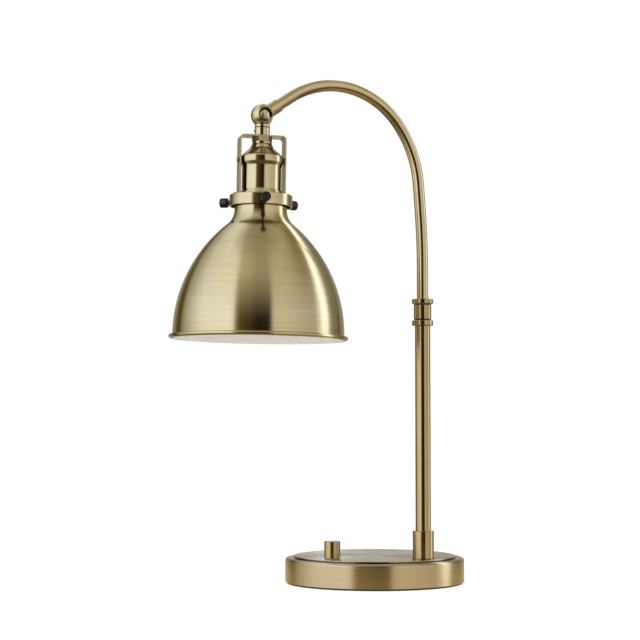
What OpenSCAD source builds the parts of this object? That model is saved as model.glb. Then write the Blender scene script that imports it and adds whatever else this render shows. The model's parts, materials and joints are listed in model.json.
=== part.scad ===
// Desk lamp with a round weighted base, a swivelling arched arm and a tilting dome shade.
// Origin: centre of the underside of the base. +Z up. At rest the arm reaches towards -X.
// Heights of the head's pieces are given as depths below the pivot of the tilting knuckle.

/* [Base] */
// Outer diameter of the base
base_d = 191; // [180:1:220]
// Height of the raised top of the base
base_h = 29; // [28:0.5:34]
// Width of the ledge around the raised top
ledge_w = 9; // [7.5:0.5:15]
// Height of the step from the shoulder up to the raised top
step_h = 2.1; // [1.4:0.1:3]
// Radius of the rounded shoulder
shoulder_r = 3; // [2.5:0.5:6]
// Thickness of the spun cover
cover_t = 1.2; // [0.8:0.1:1.6]
// Thickness of the felt under the base
felt_t = 1.5; // [1:0.1:2]
// How far the felt stays inside the cover's edge
felt_inset = 1.6; // [0.8:0.1:4]
// Thickness of the bottom plate
plate_t = 1.2; // [1:0.1:2]
// Thickness of the cast weight, without its boss
weight_h = 19.3; // [18:0.1:20]
// Radial room between the weight and the cover
weight_room = 1.3; // [0.8:0.1:3]
// Distance of the bottom screws from the centre
bottom_screw_at = 62; // [50:1:70]
// Diameter of the bottom screws
bottom_screw_d = 3.8; // [3:0.1:5]
// Length of the bottom screws in the weight
bottom_screw_len = 10; // [6:0.5:12]
// Diameter of the bottom screws' heads
bottom_head_d = 8; // [7:0.5:10]

/* [Cord inlet] */
// Bore of the inlet bushing
inlet_d = 6.6; // [5:0.1:8]
// Outer diameter of the bushing where it passes the cover
bushing_d = 11; // [10:0.5:12]
// Diameter of the bushing's outer flange
bushing_flange_d = 14.5; // [14:0.5:16]
// Thickness of the bushing's outer flange
bushing_flange_t = 2.2; // [1.5:0.1:3]
// How far the bushing reaches into the base
bushing_reach = 6; // [4:0.5:9]
// Height of the inlet above the surface that the lamp stands on
inlet_h = 12; // [11:0.5:12.5]

/* [Switch and knob] */
// Distance from the base's edge in to the knob's axis
knob_inset = 29.5; // [27.5:0.5:35]
// Direction of the knob seen from the centre
knob_angle = -154.5; // [-165:0.5:-140]
// Diameter of the knob
knob_d = 16.8; // [16:0.1:20]
// Height of the knob
knob_h = 17.6; // [15:0.1:24]
// Thickness of the knob above its shaft
knob_roof = 4; // [3:0.1:5]
// Running gap under the knob
knob_gap = 0.7; // [0.4:0.1:1.2]
// Diameter of the switch shaft
shaft_d = 6; // [5:0.1:6.5]
// Diameter of the switch can
switch_d = 24; // [20:0.5:26]
// Height of the switch can
switch_h = 14; // [12:0.5:15]
// Diameter of the switch's threaded neck
neck_d = 10; // [8.5:0.1:10.4]
// Width across the corners of the switch nut
switch_nut_d = 12.8; // [12:0.1:13]
// Thickness of the switch nut
switch_nut_h = 2.5; // [2:0.1:3]

/* [Pole] */
// Distance from the base's edge in to the pole's axis
pole_inset = 27.5; // [25.5:0.5:33]
// Direction of the pole seen from the centre
pole_angle = -64.3; // [-75:0.1:-55]
// Diameter of the lower tube
tube_d = 16; // [14:0.1:16]
// Wall of the lower tube
tube_wall = 1.2; // [1:0.1:1.3]
// Height of the coupling's underside above the base top
pole_h = 243; // [160:0.5:320]
// Diameter of the collar at the foot of the pole
collar_d = 22; // [20:0.5:24]
// Height of the collar at the foot of the pole
collar_h = 28.7; // [18:0.5:36]
// Diameter of the hollow threaded nipples
nipple_d = 9.8; // [9:0.1:10]
// Bore of the hollow threaded nipples
nipple_bore = 6.4; // [5.8:0.1:7]
// How far the pole's nipple reaches up into the tube
nipple_reach = 14; // [10:0.5:18]
// Height of the plug soldered into the tube's foot
plug_h = 16; // [15:0.5:22]
// Width across the corners of the pole's locknut
locknut_d = 17.5; // [16:0.5:20]
// Thickness of the pole's locknut
locknut_h = 4.5; // [3.5:0.1:5]
// Diameter of the pole's washer
washer_d = 22; // [20:0.5:24]
// Thickness of the pole's washer
washer_t = 1.2; // [1:0.1:2]

/* [Coupling] */
// Diameter of the coupling's two rings
ring_d = 22.1; // [21:0.1:24]
// Height of the coupling's lower ring
ring_h = 5.5; // [4:0.1:8]
// Diameter of the coupling's body
coupling_d = 18.4; // [18:0.1:20]
// Height of the coupling's body
coupling_h = 14.8; // [12:0.1:20]
// Height of the grooves beside the body
groove_h = 1.3; // [1:0.1:2]
// Depth of the grooves beside the body
groove_depth = 0.35; // [0.2:0.05:0.5]
// Height of the upper ring, which turns with the arm
cap_h = 5.1; // [4:0.1:8]
// How deep the lower tube enters the coupling
tube_seat = 11.8; // [8:0.1:13]
// Diameter of the swivel spindle
spindle_d = 10; // [9.4:0.1:10.2]
// Bore of the swivel spindle
spindle_bore = 5.8; // [5.6:0.1:6.2]
// How far the bearing bush reaches below the coupling
bush_below = 4.2; // [2:0.1:8]
// Height of the two stop lugs
lug_h = 3.9; // [3:0.1:6]
// Half the angle that a stop lug fills
lug_half_angle = 8; // [5:0.5:9]
// Thickness of the stop collar under its lug
stop_t = 1.7; // [1.2:0.1:3]
// Thickness of the spindle's nut
spindle_nut_h = 4.4; // [3:0.1:6]
// Width across the corners of the spindle's nut
spindle_nut_d = 12.2; // [11.6:0.1:12.4]
// How far the spindle is soldered into the arc tube
spindle_seat = 15; // [10:0.5:20]

/* [Arc tube] */
// Diameter of the arc tube
arc_d = 11.8; // [11.4:0.1:12.4]
// Wall of the arc tube
arc_wall = 1; // [0.8:0.1:1.1]
// How deep the arc tube enters the upper ring
arc_seat = 3.3; // [2:0.1:3.8]
// Straight rise above the tube's lower end
rise = 36.2; // [20:0.1:60]
// Radius of the first slight lean
lean_r = 810; // [500:5:1200]
// Angle of the first slight lean
lean_angle = 4.1; // [2:0.1:8]
// Radius of the nearly straight stretch after the lean
slack_r = 4400; // [3000:100:6000]
// Angle of the nearly straight stretch after the lean
slack_angle = 0.4; // [0.2:0.1:0.8]
// Radius of the opening bend
bend1_r = 119.8; // [100:0.1:160]
// Angle of the opening bend
bend1_angle = 33.6; // [28:0.1:38]
// Radius of the main bend
bend2_r = 87.2; // [75:0.1:110]
// Angle of the main bend
bend2_angle = 85.9; // [80:0.1:95]
// Radius of the nearly straight stretch up to the tube's end
tip_r = 4800; // [3000:100:6000]
// Angle of the nearly straight stretch up to the tube's end
tip_angle = 0.3; // [0.2:0.1:0.5]

/* [Knuckle] */
// Diameter of the ball knuckle
ball_d = 23.8; // [23:0.1:27]
// Thickness of the toothed washer between the two halves
tooth_washer_t = 2.2; // [1.6:0.1:3]
// Diameter of the toothed washer
tooth_washer_d = 21.4; // [18:0.1:22]
// Depth of the teeth on the washer's face
tooth_depth = 0.5; // [0.3:0.1:0.8]
// Distance from the pivot to the end of the arc tube
tip_stop = 12.5; // [12:0.1:16]
// Distance from the pivot to the mouth of the ferrule
ferrule_end = 20.5; // [18:0.1:26]
// Diameter of the ferrule
ferrule_d = 13.8; // [13.4:0.1:14.6]
// Diameter of the counterbores in the ball
counterbore_d = 14.4; // [13:0.1:15]
// Distance from the arm's plane to the counterbores' floors
counterbore_at = 6.8; // [6:0.1:7.2]
// Diameter of the pivot screw's shank
pivot_d = 5; // [4:0.1:5.5]
// Diameter of the pivot screw's head
pivot_head_d = 11.6; // [10:0.1:12.4]
// Height of the pivot screw's head
pivot_head_h = 3; // [2:0.1:3.6]
// Width across the corners of the pivot nut
pivot_nut_d = 9.2; // [8.5:0.1:10]
// Thickness of the pivot nut
pivot_nut_h = 3; // [2:0.1:3.6]
// Distance from the ferrule's axis to the notch cut in the ball
notch_off = 5.5; // [5:0.1:7]

/* [Stem and yoke] */
// Lean of the head at rest, bottom away from the pole
head_lean_angle = 1; // [0:0.1:3]
// Turn of the shade ring and its thumbscrews about the head's own axis
head_turn_angle = -12; // [-40:1:40]
// Turn of the yoke about the head's own axis
yoke_turn_angle = -8; // [-40:1:40]
// Diameter of the stem
stem_d = 15.4; // [14.5:0.1:17]
// Depth of the stem's foot below the pivot
stem_foot = 21; // [19:0.1:26]
// Depth of the stem's set screw below the pivot
set_screw_depth = 16.2; // [15.6:0.1:17]
// Diameter of the small set screws
set_screw_d = 3; // [2.5:0.1:3.2]
// How far the head's nipple reaches up into the stem
stem_thread = 6.6; // [5:0.1:7]
// How far the head's nipple reaches down into the lampholder's cap
cap_thread = 5; // [4:0.1:6]
// Width of the yoke between its outer faces
yoke_w = 48; // [47:0.2:54]
// Width of the yoke's strap
strap_w = 17.5; // [15:0.1:20]
// Thickness of the yoke's strap
strap_t = 1.6; // [1.2:0.1:2]
// Outer radius of the yoke's corners
yoke_corner = 4.5; // [3:0.1:7]
// Length of the yoke's feet on the shade ring
yoke_foot = 4.5; // [3:0.1:5]
// Thickness of the nut under the yoke
yoke_nut_h = 4.6; // [3:0.1:6]
// Width across the corners of the nut under the yoke
yoke_nut_d = 20.8; // [18:0.1:22]
// Depth of the yoke's side screws below the pivot
side_screw_depth = 46.2; // [45.4:0.1:47]
// Diameter of the side screws' shanks
side_screw_d = 3; // [2.5:0.1:4]
// Diameter of the side screws' heads
side_head_d = 6.2; // [5.5:0.1:8]
// Height of the side screws' heads
side_head_h = 1.4; // [1:0.1:2]

/* [Lampholder] */
// Diameter of the cap's top ring
cap_ring_d = 20; // [19:0.1:21]
// Height of the cap's top ring
cap_ring_h = 2.5; // [2:0.1:3]
// Height of the lines between the cap's bands
cap_line = 0.4; // [0.3:0.05:0.6]
// Height of the cap's flared collar
cap_flare_h = 4; // [3:0.1:5]
// Height of the cap's cone
cap_cone_h = 7.2; // [5:0.1:8]
// Height of the cap's skirt inside the shell
cap_skirt_h = 4.2; // [3:0.1:4.6]
// Diameter of the shell's body
shell_d = 40; // [38:0.1:40]
// Diameter of the shell's bell and foot
bell_d = 44.2; // [42.4:0.1:44.2]
// Height of the shell's bell
bell_h = 11; // [10:0.1:12]
// Height of the slopes at the shell's bell and foot
cove_h = 4; // [3:0.1:4.6]
// Radius of the bell's rounded top edge
bell_round = 2.4; // [1.5:0.1:3]
// Height of the shell, bell and foot included
shell_h = 40.6; // [36:0.1:50]
// Height of the shell's foot
foot_h = 5.4; // [4.8:0.1:7]
// Wall of the shell and the cap
shell_t = 1; // [0.8:0.1:1.2]
// Diameter of the lampholder's insulating body
insulator_d = 33.7; // [33:0.1:34.5]
// How far the insulating body reaches below the shade ring's plate
insulator_below = 16; // [12:0.5:24]
// Thickness of the insulating body's roof
insulator_roof = 6; // [4:0.5:8]
// Room for the centre contact above the screw shell
contact_room = 7; // [6:0.5:9]
// Bore of the screw shell, for an E26 lamp base
screw_bore = 26.3; // [26.3:0.1:26.6]
// Wall of the screw shell
screw_t = 0.7; // [0.5:0.1:0.8]
// Width of the screw shell's inward rim and of the ledge that it rests on
screw_rim = 2.5; // [1.5:0.1:3]
// Length of the screw shell
screw_len = 28; // [24:0.5:30]
// Diameter of the centre contact
contact_d = 9; // [7:0.5:12]
// Thickness of the centre contact's plate
contact_t = 0.8; // [0.6:0.1:1.2]
// Height of the centre contact's button
contact_h = 2.5; // [1.5:0.1:3.5]

/* [Shade ring] */
// Outer diameter of the shade ring
fitter_d = 64.2; // [62:0.2:68]
// Height of the shade ring
fitter_h = 11.6; // [11:0.1:14]
// Wall of the shade ring
fitter_t = 1.6; // [1.2:0.1:2]
// Thickness of the clamp nut inside the shade ring
clamp_h = 3.8; // [3:0.1:5]
// Outer diameter of the clamp nut
clamp_d = 43; // [41:0.5:45]
// Radius of the key notches in the clamp nut's edge
clamp_notch_r = 1.5; // [1:0.1:2]
// Distance of the thumbscrews below the ring's top
thumb_drop = 6.2; // [6:0.1:7]
// Diameter of the thumbscrews' shanks
thumb_d = 3.4; // [3:0.1:3.8]
// Diameter of the thumbscrews' heads
thumb_head_d = 9.8; // [9:0.1:11]
// Length of the thumbscrews' heads
thumb_head_len = 7.4; // [5:0.1:9]
// Distance of the heads' outer faces from the shade's axis
thumb_out = 44.6; // [43:0.1:48]

/* [Shade] */
// Outer diameter of the shade's neck
shade_neck_d = 53.4; // [52:0.2:54]
// Depth of the neck's top below the ring's top
neck_drop = 3.3; // [2.8:0.1:3.6]
// How far the neck's lip stands out
lip_out = 1.8; // [1:0.1:2.4]
// Radius of the flare between neck and dome
flare_r = 20; // [16:0.5:26]
// Radius of the dome's curved side
dome_r = 145; // [138:0.2:154]
// Diameter of the shade's mouth, inside the bead
mouth_d = 174; // [165:0.5:182]
// Height from the ring's top down to the mouth
shade_drop = 146.6; // [132:0.1:160]
// Height of the straight band above the mouth
band_h = 4.4; // [2:0.2:8]
// Thickness of the shade's sheet
sheet_t = 1; // [0.8:0.1:1.4]
// Diameter of the rolled bead
bead_d = 4.2; // [3:0.1:5]
// How far the bead bites into the band
bead_bite = 0.3; // [0.2:0.05:0.5]

/* [Leads] */
// Diameter of the insulated internal lead
lead_d = 5; // [4:0.1:5.2]
// Diameter of the wire connectors
connector_d = 9.4; // [9:0.1:10]
// Length of the wire connectors
connector_len = 16; // [14:0.5:18]

/* [Fits] */
// Radial clearance of running fits
run_fit = 0.05; // [0.03:0.01:0.08]
// Radial clearance of fixed fits
seat_fit = 0.05; // [0.03:0.01:0.08]
// Clearance between pieces that pass each other
pass_gap = 0.4; // [0.3:0.05:0.6]
// Axial clearance under turning pieces
turn_gap = 0.1; // [0.05:0.05:0.2]

/* [Hidden] */
$fn = 64;

// Colours
brass = [0.68, 0.58, 0.36];
brass_dark = [0.55, 0.46, 0.27];
bronze = [0.16, 0.13, 0.12];
steel = [0.62, 0.62, 0.64];
iron = [0.25, 0.25, 0.26];
felt = [0.12, 0.12, 0.12];
phenolic = [0.1, 0.09, 0.09];
wire = [0.85, 0.72, 0.3];

// Base
base_r = base_d / 2;
plate_z = felt_t;
weight_z = plate_z + plate_t;
weight_top = weight_z + weight_h;
cover_inner_z = base_h - cover_t;
shoulder_z = base_h - step_h;
weight_r = base_r - cover_t - weight_room;
lead_z = weight_z + pass_gap + lead_d / 2;
lead_bend = lead_d / 2 + 3.5;
channel_w = lead_d + 6 * pass_gap;
channel_h = lead_d + 4 * pass_gap;
connector_z = weight_z + pass_gap + connector_d / 2;
connector_from = connector_d / 2 + 2 * pass_gap;
connector_to = connector_from + connector_len;
pocket_r = connector_to + 2;
pocket_h = connector_d + 4 * pass_gap;
inlet_w = bushing_d + 10 * pass_gap;
bottom_screw_angles = [30, 150, 270];
bottom_head_h = felt_t - 0.3;

// Switch
knob_at = base_r - knob_inset;
knob_x = knob_at * cos(knob_angle);
knob_y = knob_at * sin(knob_angle);
knob_z = base_h + knob_gap;
switch_z = cover_inner_z - switch_h;
neck_top = base_h + switch_nut_h + 0.5;
knob_recess_r = switch_nut_d / 2 + pass_gap;
knob_recess_top = neck_top + 1.5;
shaft_top = knob_z + knob_h - knob_roof;
shaft_z = switch_z + 4;
knob_screw_z = (knob_recess_top + shaft_top) / 2;

// Pole
pole_at = base_r - pole_inset;
pole_x = pole_at * cos(pole_angle);
pole_y = pole_at * sin(pole_angle);
tube_r = tube_d / 2;
tube_bore_r = tube_r - tube_wall;
coupling_z = base_h + pole_h;
nipple_r = nipple_d / 2;
nut_bore_r = nipple_r + seat_fit;
nipple_top = base_h + nipple_reach;
washer_z = weight_top - 3.3 - washer_t;
locknut_z = washer_z - locknut_h;
nipple_z = locknut_z - 0.8;
boss_r = washer_d / 2 + 4;
pole_pocket_r = washer_d / 2 + 1;

// Coupling and swivel
coupling_r = coupling_d / 2;
socket_top = coupling_z + ring_h + groove_h + coupling_h;
cap_z = socket_top + groove_h;
arm_z = cap_z + cap_h - arc_seat;
bush_z = coupling_z - bush_below;
bush_r = tube_bore_r - seat_fit;
spindle_r = spindle_d / 2;
lug_bottom = bush_z - lug_h;
stop_top = lug_bottom - turn_gap;
stop_z = stop_top - stop_t;
spindle_nut_z = stop_z - spindle_nut_h;
spindle_z = spindle_nut_z - 1;
stop_r = tube_bore_r - pass_gap;
pole_lead_top = spindle_z - 1.5;

// Arc tube: a straight rise, then stretches of [bend radius, bend angle]
arc_r = arc_d / 2;
arc_bore_r = arc_r - arc_wall;
arc_path = [
    [lean_r, lean_angle], [slack_r, slack_angle], [bend1_r, bend1_angle],
    [bend2_r, bend2_angle], [tip_r, tip_angle]
];
// State at the start of stretch i: [reach from the pole, height, heading above horizontal]
function after_line(q, len) = [q[0] + len * cos(q[2]), q[1] + len * sin(q[2]), q[2]];
function bend_centre(q, r) = [q[0] + r * sin(q[2]), q[1] - r * cos(q[2])];
function after_bend(q, r, a) =
    let (c = bend_centre(q, r), h = q[2] - a) [c[0] - r * sin(h), c[1] + r * cos(h), h];
function arc_state(i) =
    i == 0 ? [0, arm_z + rise, 90]
    : let (s = arc_path[i - 1]) after_bend(arc_state(i - 1), s[0], s[1]);
arc_end = arc_state(len(arc_path));
tip_heading = arc_end[2];
pivot_state = after_line(arc_end, tip_stop);
pivot = [pole_x - pivot_state[0], pole_y, pivot_state[1]];

// Knuckle
ball_r = ball_d / 2;
half_t = tooth_washer_t / 2;
notch_back = -0.8;
tooth_count = 36;

// Head, as depths below the pivot
stem_r = stem_d / 2;
yoke_top = stem_foot;
yoke_nut_top = yoke_top + strap_t;
cap_top = yoke_nut_top + yoke_nut_h;
cap_ring_r = cap_ring_d / 2;
flare_top = cap_top + cap_ring_h + cap_line;
cone_top = flare_top + cap_flare_h + cap_line;
shell_top = cone_top + cap_cone_h;
fitter_top = shell_top + shell_h;
bell_r = bell_d / 2;
shell_r = shell_d / 2;
shell_bore_r = shell_r - shell_t;
bell_bore_r = bell_r - 1.5 * shell_t;
skirt_r = bell_bore_r - seat_fit;
insulator_r = insulator_d / 2;
insulator_top = shell_top + cap_skirt_h + 2.8;
contact_top = insulator_top + insulator_roof;
screw_top = contact_top + contact_room;
insulator_foot = fitter_top + insulator_below;
screw_r = screw_bore / 2;
insulator_bore_r = screw_r + screw_t + seat_fit;
head_nipple_top = stem_foot - stem_thread;
head_nipple_foot = cap_top + cap_thread;
set_screw_r = set_screw_d / 2;

// Shade ring and thumbscrews
fitter_r = fitter_d / 2;
fitter_edge_r = 1;
clamp_top = fitter_top + fitter_t;
thumb_depth = fitter_top + thumb_drop;
shade_neck_r = shade_neck_d / 2;
thumb_tip = shade_neck_r + 0.2;
thumb_count = 3;

// Shade: a neck, a flare, a domed side that ends upright, and a short straight band
neck_top_depth = fitter_top + neck_drop;
mouth = fitter_top + shade_drop;
mouth_r = mouth_d / 2;
dome_c = [mouth_r - dome_r, mouth - band_h];
flare_across = shade_neck_r + flare_r - dome_c[0];
flare_c = [
    shade_neck_r + flare_r,
    dome_c[1] - sqrt(pow(dome_r + flare_r, 2) - pow(flare_across, 2))
];
bead_r = bead_d / 2;
bead_c = [mouth_r + bead_r - bead_bite, mouth - bead_r];

// Frames
module at_pole() {
    translate([pole_x, pole_y, 0]) children();
}
module arm_plane() {
    at_pole() rotate([0, 0, 180]) children();
}
module at_tip() {
    translate(pivot) rotate([0, 90 + tip_heading, 0]) children();
}
module head() {
    translate(pivot) rotate([0, head_lean_angle, 0]) children();
}
module turned_head() {
    head() rotate([0, 0, head_turn_angle]) children();
}
module turned_yoke() {
    head() rotate([0, 0, yoke_turn_angle]) children();
}
module at_knob() {
    translate([knob_x, knob_y, 0]) children();
}

// Shapes that repeat
module ring(r_out, r_in, z0, z1) {
    translate([0, 0, z0]) difference() {
        cylinder(r = r_out, h = z1 - z0);
        translate([0, 0, -1]) cylinder(r = r_in, h = z1 - z0 + 2);
    }
}
module hex_nut(d, bore_r, z0, h) {
    translate([0, 0, z0]) difference() {
        cylinder(d = d, h = h, $fn = 6);
        translate([0, 0, -1]) cylinder(r = bore_r, h = h + 2);
    }
}
module edged_ring(r_out, r_in, z0, z1, edge) {
    difference() {
        rotate_extrude() polygon([
            [0, z0], [r_out - edge, z0], [r_out, z0 + edge],
            [r_out, z1 - edge], [r_out - edge, z1], [0, z1]
        ]);
        translate([0, 0, z0 - 1]) cylinder(r = r_in, h = z1 - z0 + 2);
    }
}
module sector(r_in, r_out, half, z0, z1) {
    far = 2 * r_out;
    intersection() {
        ring(r_out, r_in, z0, z1);
        translate([0, 0, z0]) linear_extrude(z1 - z0)
            polygon([[0, 0], [far * cos(half), -far * sin(half)], [far, 0],
                     [far * cos(half), far * sin(half)]]);
    }
}
// A rod from the axis outwards at height z, between two distances
module radial_rod(r, z, from, to) {
    translate([from, 0, z]) rotate([0, 90, 0]) cylinder(r = r, h = to - from);
}
// Moves a shape in whole, thousandth and remaining steps, so that stretches meet exactly
module exact_translate(v) {
    whole = [for (x = v) round(x)];
    part = [for (x = v - whole) round(x * 1000) / 1000];
    translate(whole) translate(part) translate(v - whole - part) children();
}
// Carries a 2D outline along the arc tube's path, in the arm's plane
module along_arc() {
    translate([0, 0, arm_z]) linear_extrude(rise) children();
    for (i = [0 : len(arc_path) - 1]) {
        q = arc_state(i);
        s = arc_path[i];
        c = bend_centre(q, s[0]);
        exact_translate([c[0], 0, c[1]]) rotate([90, 0, 0])
            rotate_extrude(angle = s[1], start = q[2] - s[1] + 90)
                translate([s[0], 0]) children();
    }
}
module ring_2d(r_out, r_in) {
    difference() {
        circle(r = r_out);
        circle(r = r_in);
    }
}

// Base pieces
module cover_profile(t) {
    shoulder_c = base_r - shoulder_r;
    square([base_r - ledge_w - t, base_h - t]);
    square([shoulder_c, shoulder_z - t]);
    square([base_r - t, shoulder_z - shoulder_r]);
    translate([shoulder_c, shoulder_z - shoulder_r]) intersection() {
        circle(r = shoulder_r - t);
        square(shoulder_r);
    }
}
module base_cover() {
    color(brass) difference() {
        rotate_extrude() difference() {
            cover_profile(0);
            cover_profile(cover_t);
            square([2 * base_r, felt_t]);
        }
        at_pole() translate([0, 0, base_h - 2 * cover_t])
            cylinder(r = nut_bore_r, h = 4 * cover_t);
        at_knob() translate([0, 0, base_h - 2 * cover_t])
            cylinder(r = neck_d / 2 + seat_fit, h = 4 * cover_t);
        rotate([0, 0, 90]) radial_rod(bushing_d / 2 + seat_fit, inlet_h, base_r - bushing_reach, base_r + 1);
    }
}
module base_weight() {
    color(iron) difference() {
        union() {
            translate([0, 0, weight_z]) cylinder(r = weight_r, h = weight_h);
            at_pole() translate([0, 0, weight_top])
                cylinder(r = boss_r, h = cover_inner_z - weight_top);
        }
        translate([0, 0, weight_z - 1]) cylinder(r = pocket_r, h = pocket_h + 1);
        at_pole() {
            translate([0, 0, weight_z - 1])
                cylinder(r = pole_pocket_r, h = washer_z + washer_t - weight_z + 1);
            translate([0, 0, weight_z]) cylinder(r = nipple_r + pass_gap, h = 2 * weight_h);
        }
        at_knob() translate([0, 0, weight_z - 1])
            cylinder(r = switch_d / 2 + 2, h = weight_h + 2);
        for (angle = [pole_angle, knob_angle]) rotate([0, 0, angle])
            translate([0, -channel_w / 2, weight_z - 1]) cube([pole_at, channel_w, channel_h + 1]);
        rotate([0, 0, 90]) translate([0, -inlet_w / 2, weight_z - 1])
            cube([base_r, inlet_w, inlet_h + inlet_w / 2 - weight_z + 1]);
        for (angle = bottom_screw_angles) rotate([0, 0, angle])
            translate([bottom_screw_at, 0, weight_z - 1])
                cylinder(d = bottom_screw_d + 2 * seat_fit, h = bottom_screw_len + 2);
    }
}
module bottom_plate() {
    color(steel) difference() {
        translate([0, 0, plate_z]) cylinder(r = base_r - cover_t - seat_fit, h = plate_t);
        for (angle = bottom_screw_angles) rotate([0, 0, angle])
            translate([bottom_screw_at, 0, plate_z - 1])
                cylinder(d = bottom_screw_d + 2 * seat_fit, h = plate_t + 2);
    }
}
module bottom_screws() {
    color(steel) for (angle = bottom_screw_angles) rotate([0, 0, angle])
        translate([bottom_screw_at, 0, plate_z]) difference() {
            union() {
                cylinder(d = bottom_screw_d, h = plate_t + bottom_screw_len);
                translate([0, 0, -bottom_head_h]) cylinder(d = bottom_head_d, h = bottom_head_h);
            }
            for (a = [0, 90]) rotate([0, 0, a]) translate([0, 0, -bottom_head_h])
                cube([bottom_head_d * 0.6, 0.9, 1.2], center = true);
        }
}
module felt_pad() {
    color(felt) difference() {
        cylinder(r = base_r - felt_inset, h = felt_t);
        for (angle = bottom_screw_angles) rotate([0, 0, angle]) translate([bottom_screw_at, 0, -1])
            cylinder(d = bottom_head_d + 2 * pass_gap, h = felt_t + 2);
    }
}
module cord_bushing() {
    color(phenolic) rotate([0, 0, 90]) difference() {
        union() {
            radial_rod(bushing_d / 2, inlet_h, base_r - bushing_reach, base_r + bushing_flange_t);
            difference() {
                radial_rod(bushing_flange_d / 2, inlet_h, base_r - 1, base_r + bushing_flange_t);
                cylinder(r = base_r, h = 2 * base_h);
            }
        }
        radial_rod(inlet_d / 2, inlet_h, base_r - bushing_reach - 1, base_r + bushing_flange_t + 1);
    }
}

// Pole pieces
module pole_nipple() {
    color(steel) at_pole() ring(nipple_r, nipple_bore / 2, nipple_z, nipple_top);
}
module pole_washer() {
    color(steel) at_pole() ring(washer_d / 2, nut_bore_r, washer_z, washer_z + washer_t);
}
module pole_locknut() {
    color(steel) at_pole() hex_nut(locknut_d, nut_bore_r, locknut_z, locknut_h);
}
module pole_plug() {
    color(brass_dark) at_pole() ring(tube_bore_r - seat_fit, nut_bore_r, base_h, base_h + plug_h);
}
module pole_collar() {
    color(brass) at_pole()
        edged_ring(collar_d / 2, tube_r + seat_fit, base_h, base_h + collar_h, 0.4);
}
module lower_tube() {
    color(brass) at_pole() ring(tube_r, tube_bore_r, base_h, coupling_z + tube_seat);
}

// Coupling and swivel pieces
module coupling_socket() {
    ring_top = coupling_z + ring_h;
    color(brass) at_pole() difference() {
        union() {
            edged_ring(ring_d / 2, tube_r, coupling_z, ring_top, 0.5);
            ring(coupling_r - groove_depth, tube_bore_r, ring_top, ring_top + groove_h);
            edged_ring(coupling_r, tube_bore_r, ring_top + groove_h, socket_top, 0.3);
        }
        translate([0, 0, coupling_z - 1]) cylinder(r = tube_r + seat_fit, h = tube_seat + 1);
        translate([0, 0, coupling_z]) cylinder(r = tube_bore_r, h = socket_top);
    }
}
module bearing_bush() {
    color(brass_dark) at_pole() {
        ring(bush_r, spindle_r + run_fit, bush_z, socket_top);
        sector(spindle_r + pass_gap / 2, bush_r, lug_half_angle, lug_bottom, bush_z);
    }
}
module swivel_washer() {
    color(bronze) at_pole()
        ring(coupling_r - groove_depth, spindle_r + pass_gap, socket_top, cap_z - turn_gap);
}
module coupling_cap() {
    color(brass) at_pole() difference() {
        edged_ring(ring_d / 2, spindle_r + seat_fit, cap_z, cap_z + cap_h, 0.5);
        translate([0, 0, arm_z]) cylinder(r = arc_r + seat_fit, h = cap_h);
    }
}
module swivel_spindle() {
    color(steel) at_pole() difference() {
        union() {
            translate([0, 0, spindle_z]) cylinder(r = spindle_r, h = arm_z - spindle_z);
            translate([0, 0, arm_z]) cylinder(r = arc_bore_r - seat_fit, h = spindle_seat);
        }
        translate([0, 0, spindle_z - 1]) cylinder(d = spindle_bore, h = arm_z);
    }
}
module stop_collar() {
    color(steel) at_pole() rotate([0, 0, 180]) {
        ring(stop_r, spindle_r + seat_fit, stop_z, stop_top);
        sector(spindle_r + seat_fit, stop_r, lug_half_angle, stop_top, bush_z - turn_gap);
    }
}
module spindle_nut() {
    color(steel) at_pole()
        hex_nut(spindle_nut_d, spindle_r + seat_fit, spindle_nut_z, spindle_nut_h);
}

// Arm pieces
module arc_tube() {
    color(brass) arm_plane() along_arc() ring_2d(arc_r, arc_bore_r);
}
module arm_lead() {
    color(wire) {
        at_pole() translate([0, 0, spindle_z]) cylinder(d = lead_d, h = arm_z - spindle_z);
        arm_plane() along_arc() circle(d = lead_d);
    }
}
module half_ball(side) {
    box_r = ball_r + 1;
    intersection() {
        sphere(r = ball_r);
        translate([-box_r, side > 0 ? half_t : -half_t - 2 * box_r, -box_r]) cube(2 * box_r);
    }
}
// Room that one half of the knuckle leaves for the other
module other_half_room(side) {
    box_r = ball_r + 2;
    intersection() {
        sphere(r = ball_r + pass_gap);
        translate([-box_r, side > 0 ? -half_t : half_t - 2 * box_r, -box_r]) cube(2 * box_r);
    }
}
module pivot_hole(r) {
    rotate([90, 0, 0]) cylinder(r = r, h = 3 * ball_r, center = true);
}
module counterbore(side) {
    rotate([side > 0 ? -90 : 90, 0, 0]) translate([0, 0, counterbore_at])
        cylinder(d = counterbore_d, h = ball_r);
}
module arm_knuckle() {
    color(brass) difference() {
        union() {
            difference() {
                translate(pivot) half_ball(-1);
                at_tip() translate([notch_off, -ball_r - 1, notch_back])
                    cube([ball_r, ball_r + 2, ball_r + 2]);
            }
            at_tip() difference() {
                translate([0, 0, ball_r / 2]) cylinder(d = ferrule_d, h = ferrule_end - ball_r / 2);
                translate([0, 0, tip_stop]) cylinder(r = arc_r + seat_fit, h = ferrule_end);
            }
        }
        translate(pivot) {
            other_half_room(1);
            pivot_hole(pivot_d / 2 + seat_fit);
            counterbore(-1);
        }
    }
}
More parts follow.
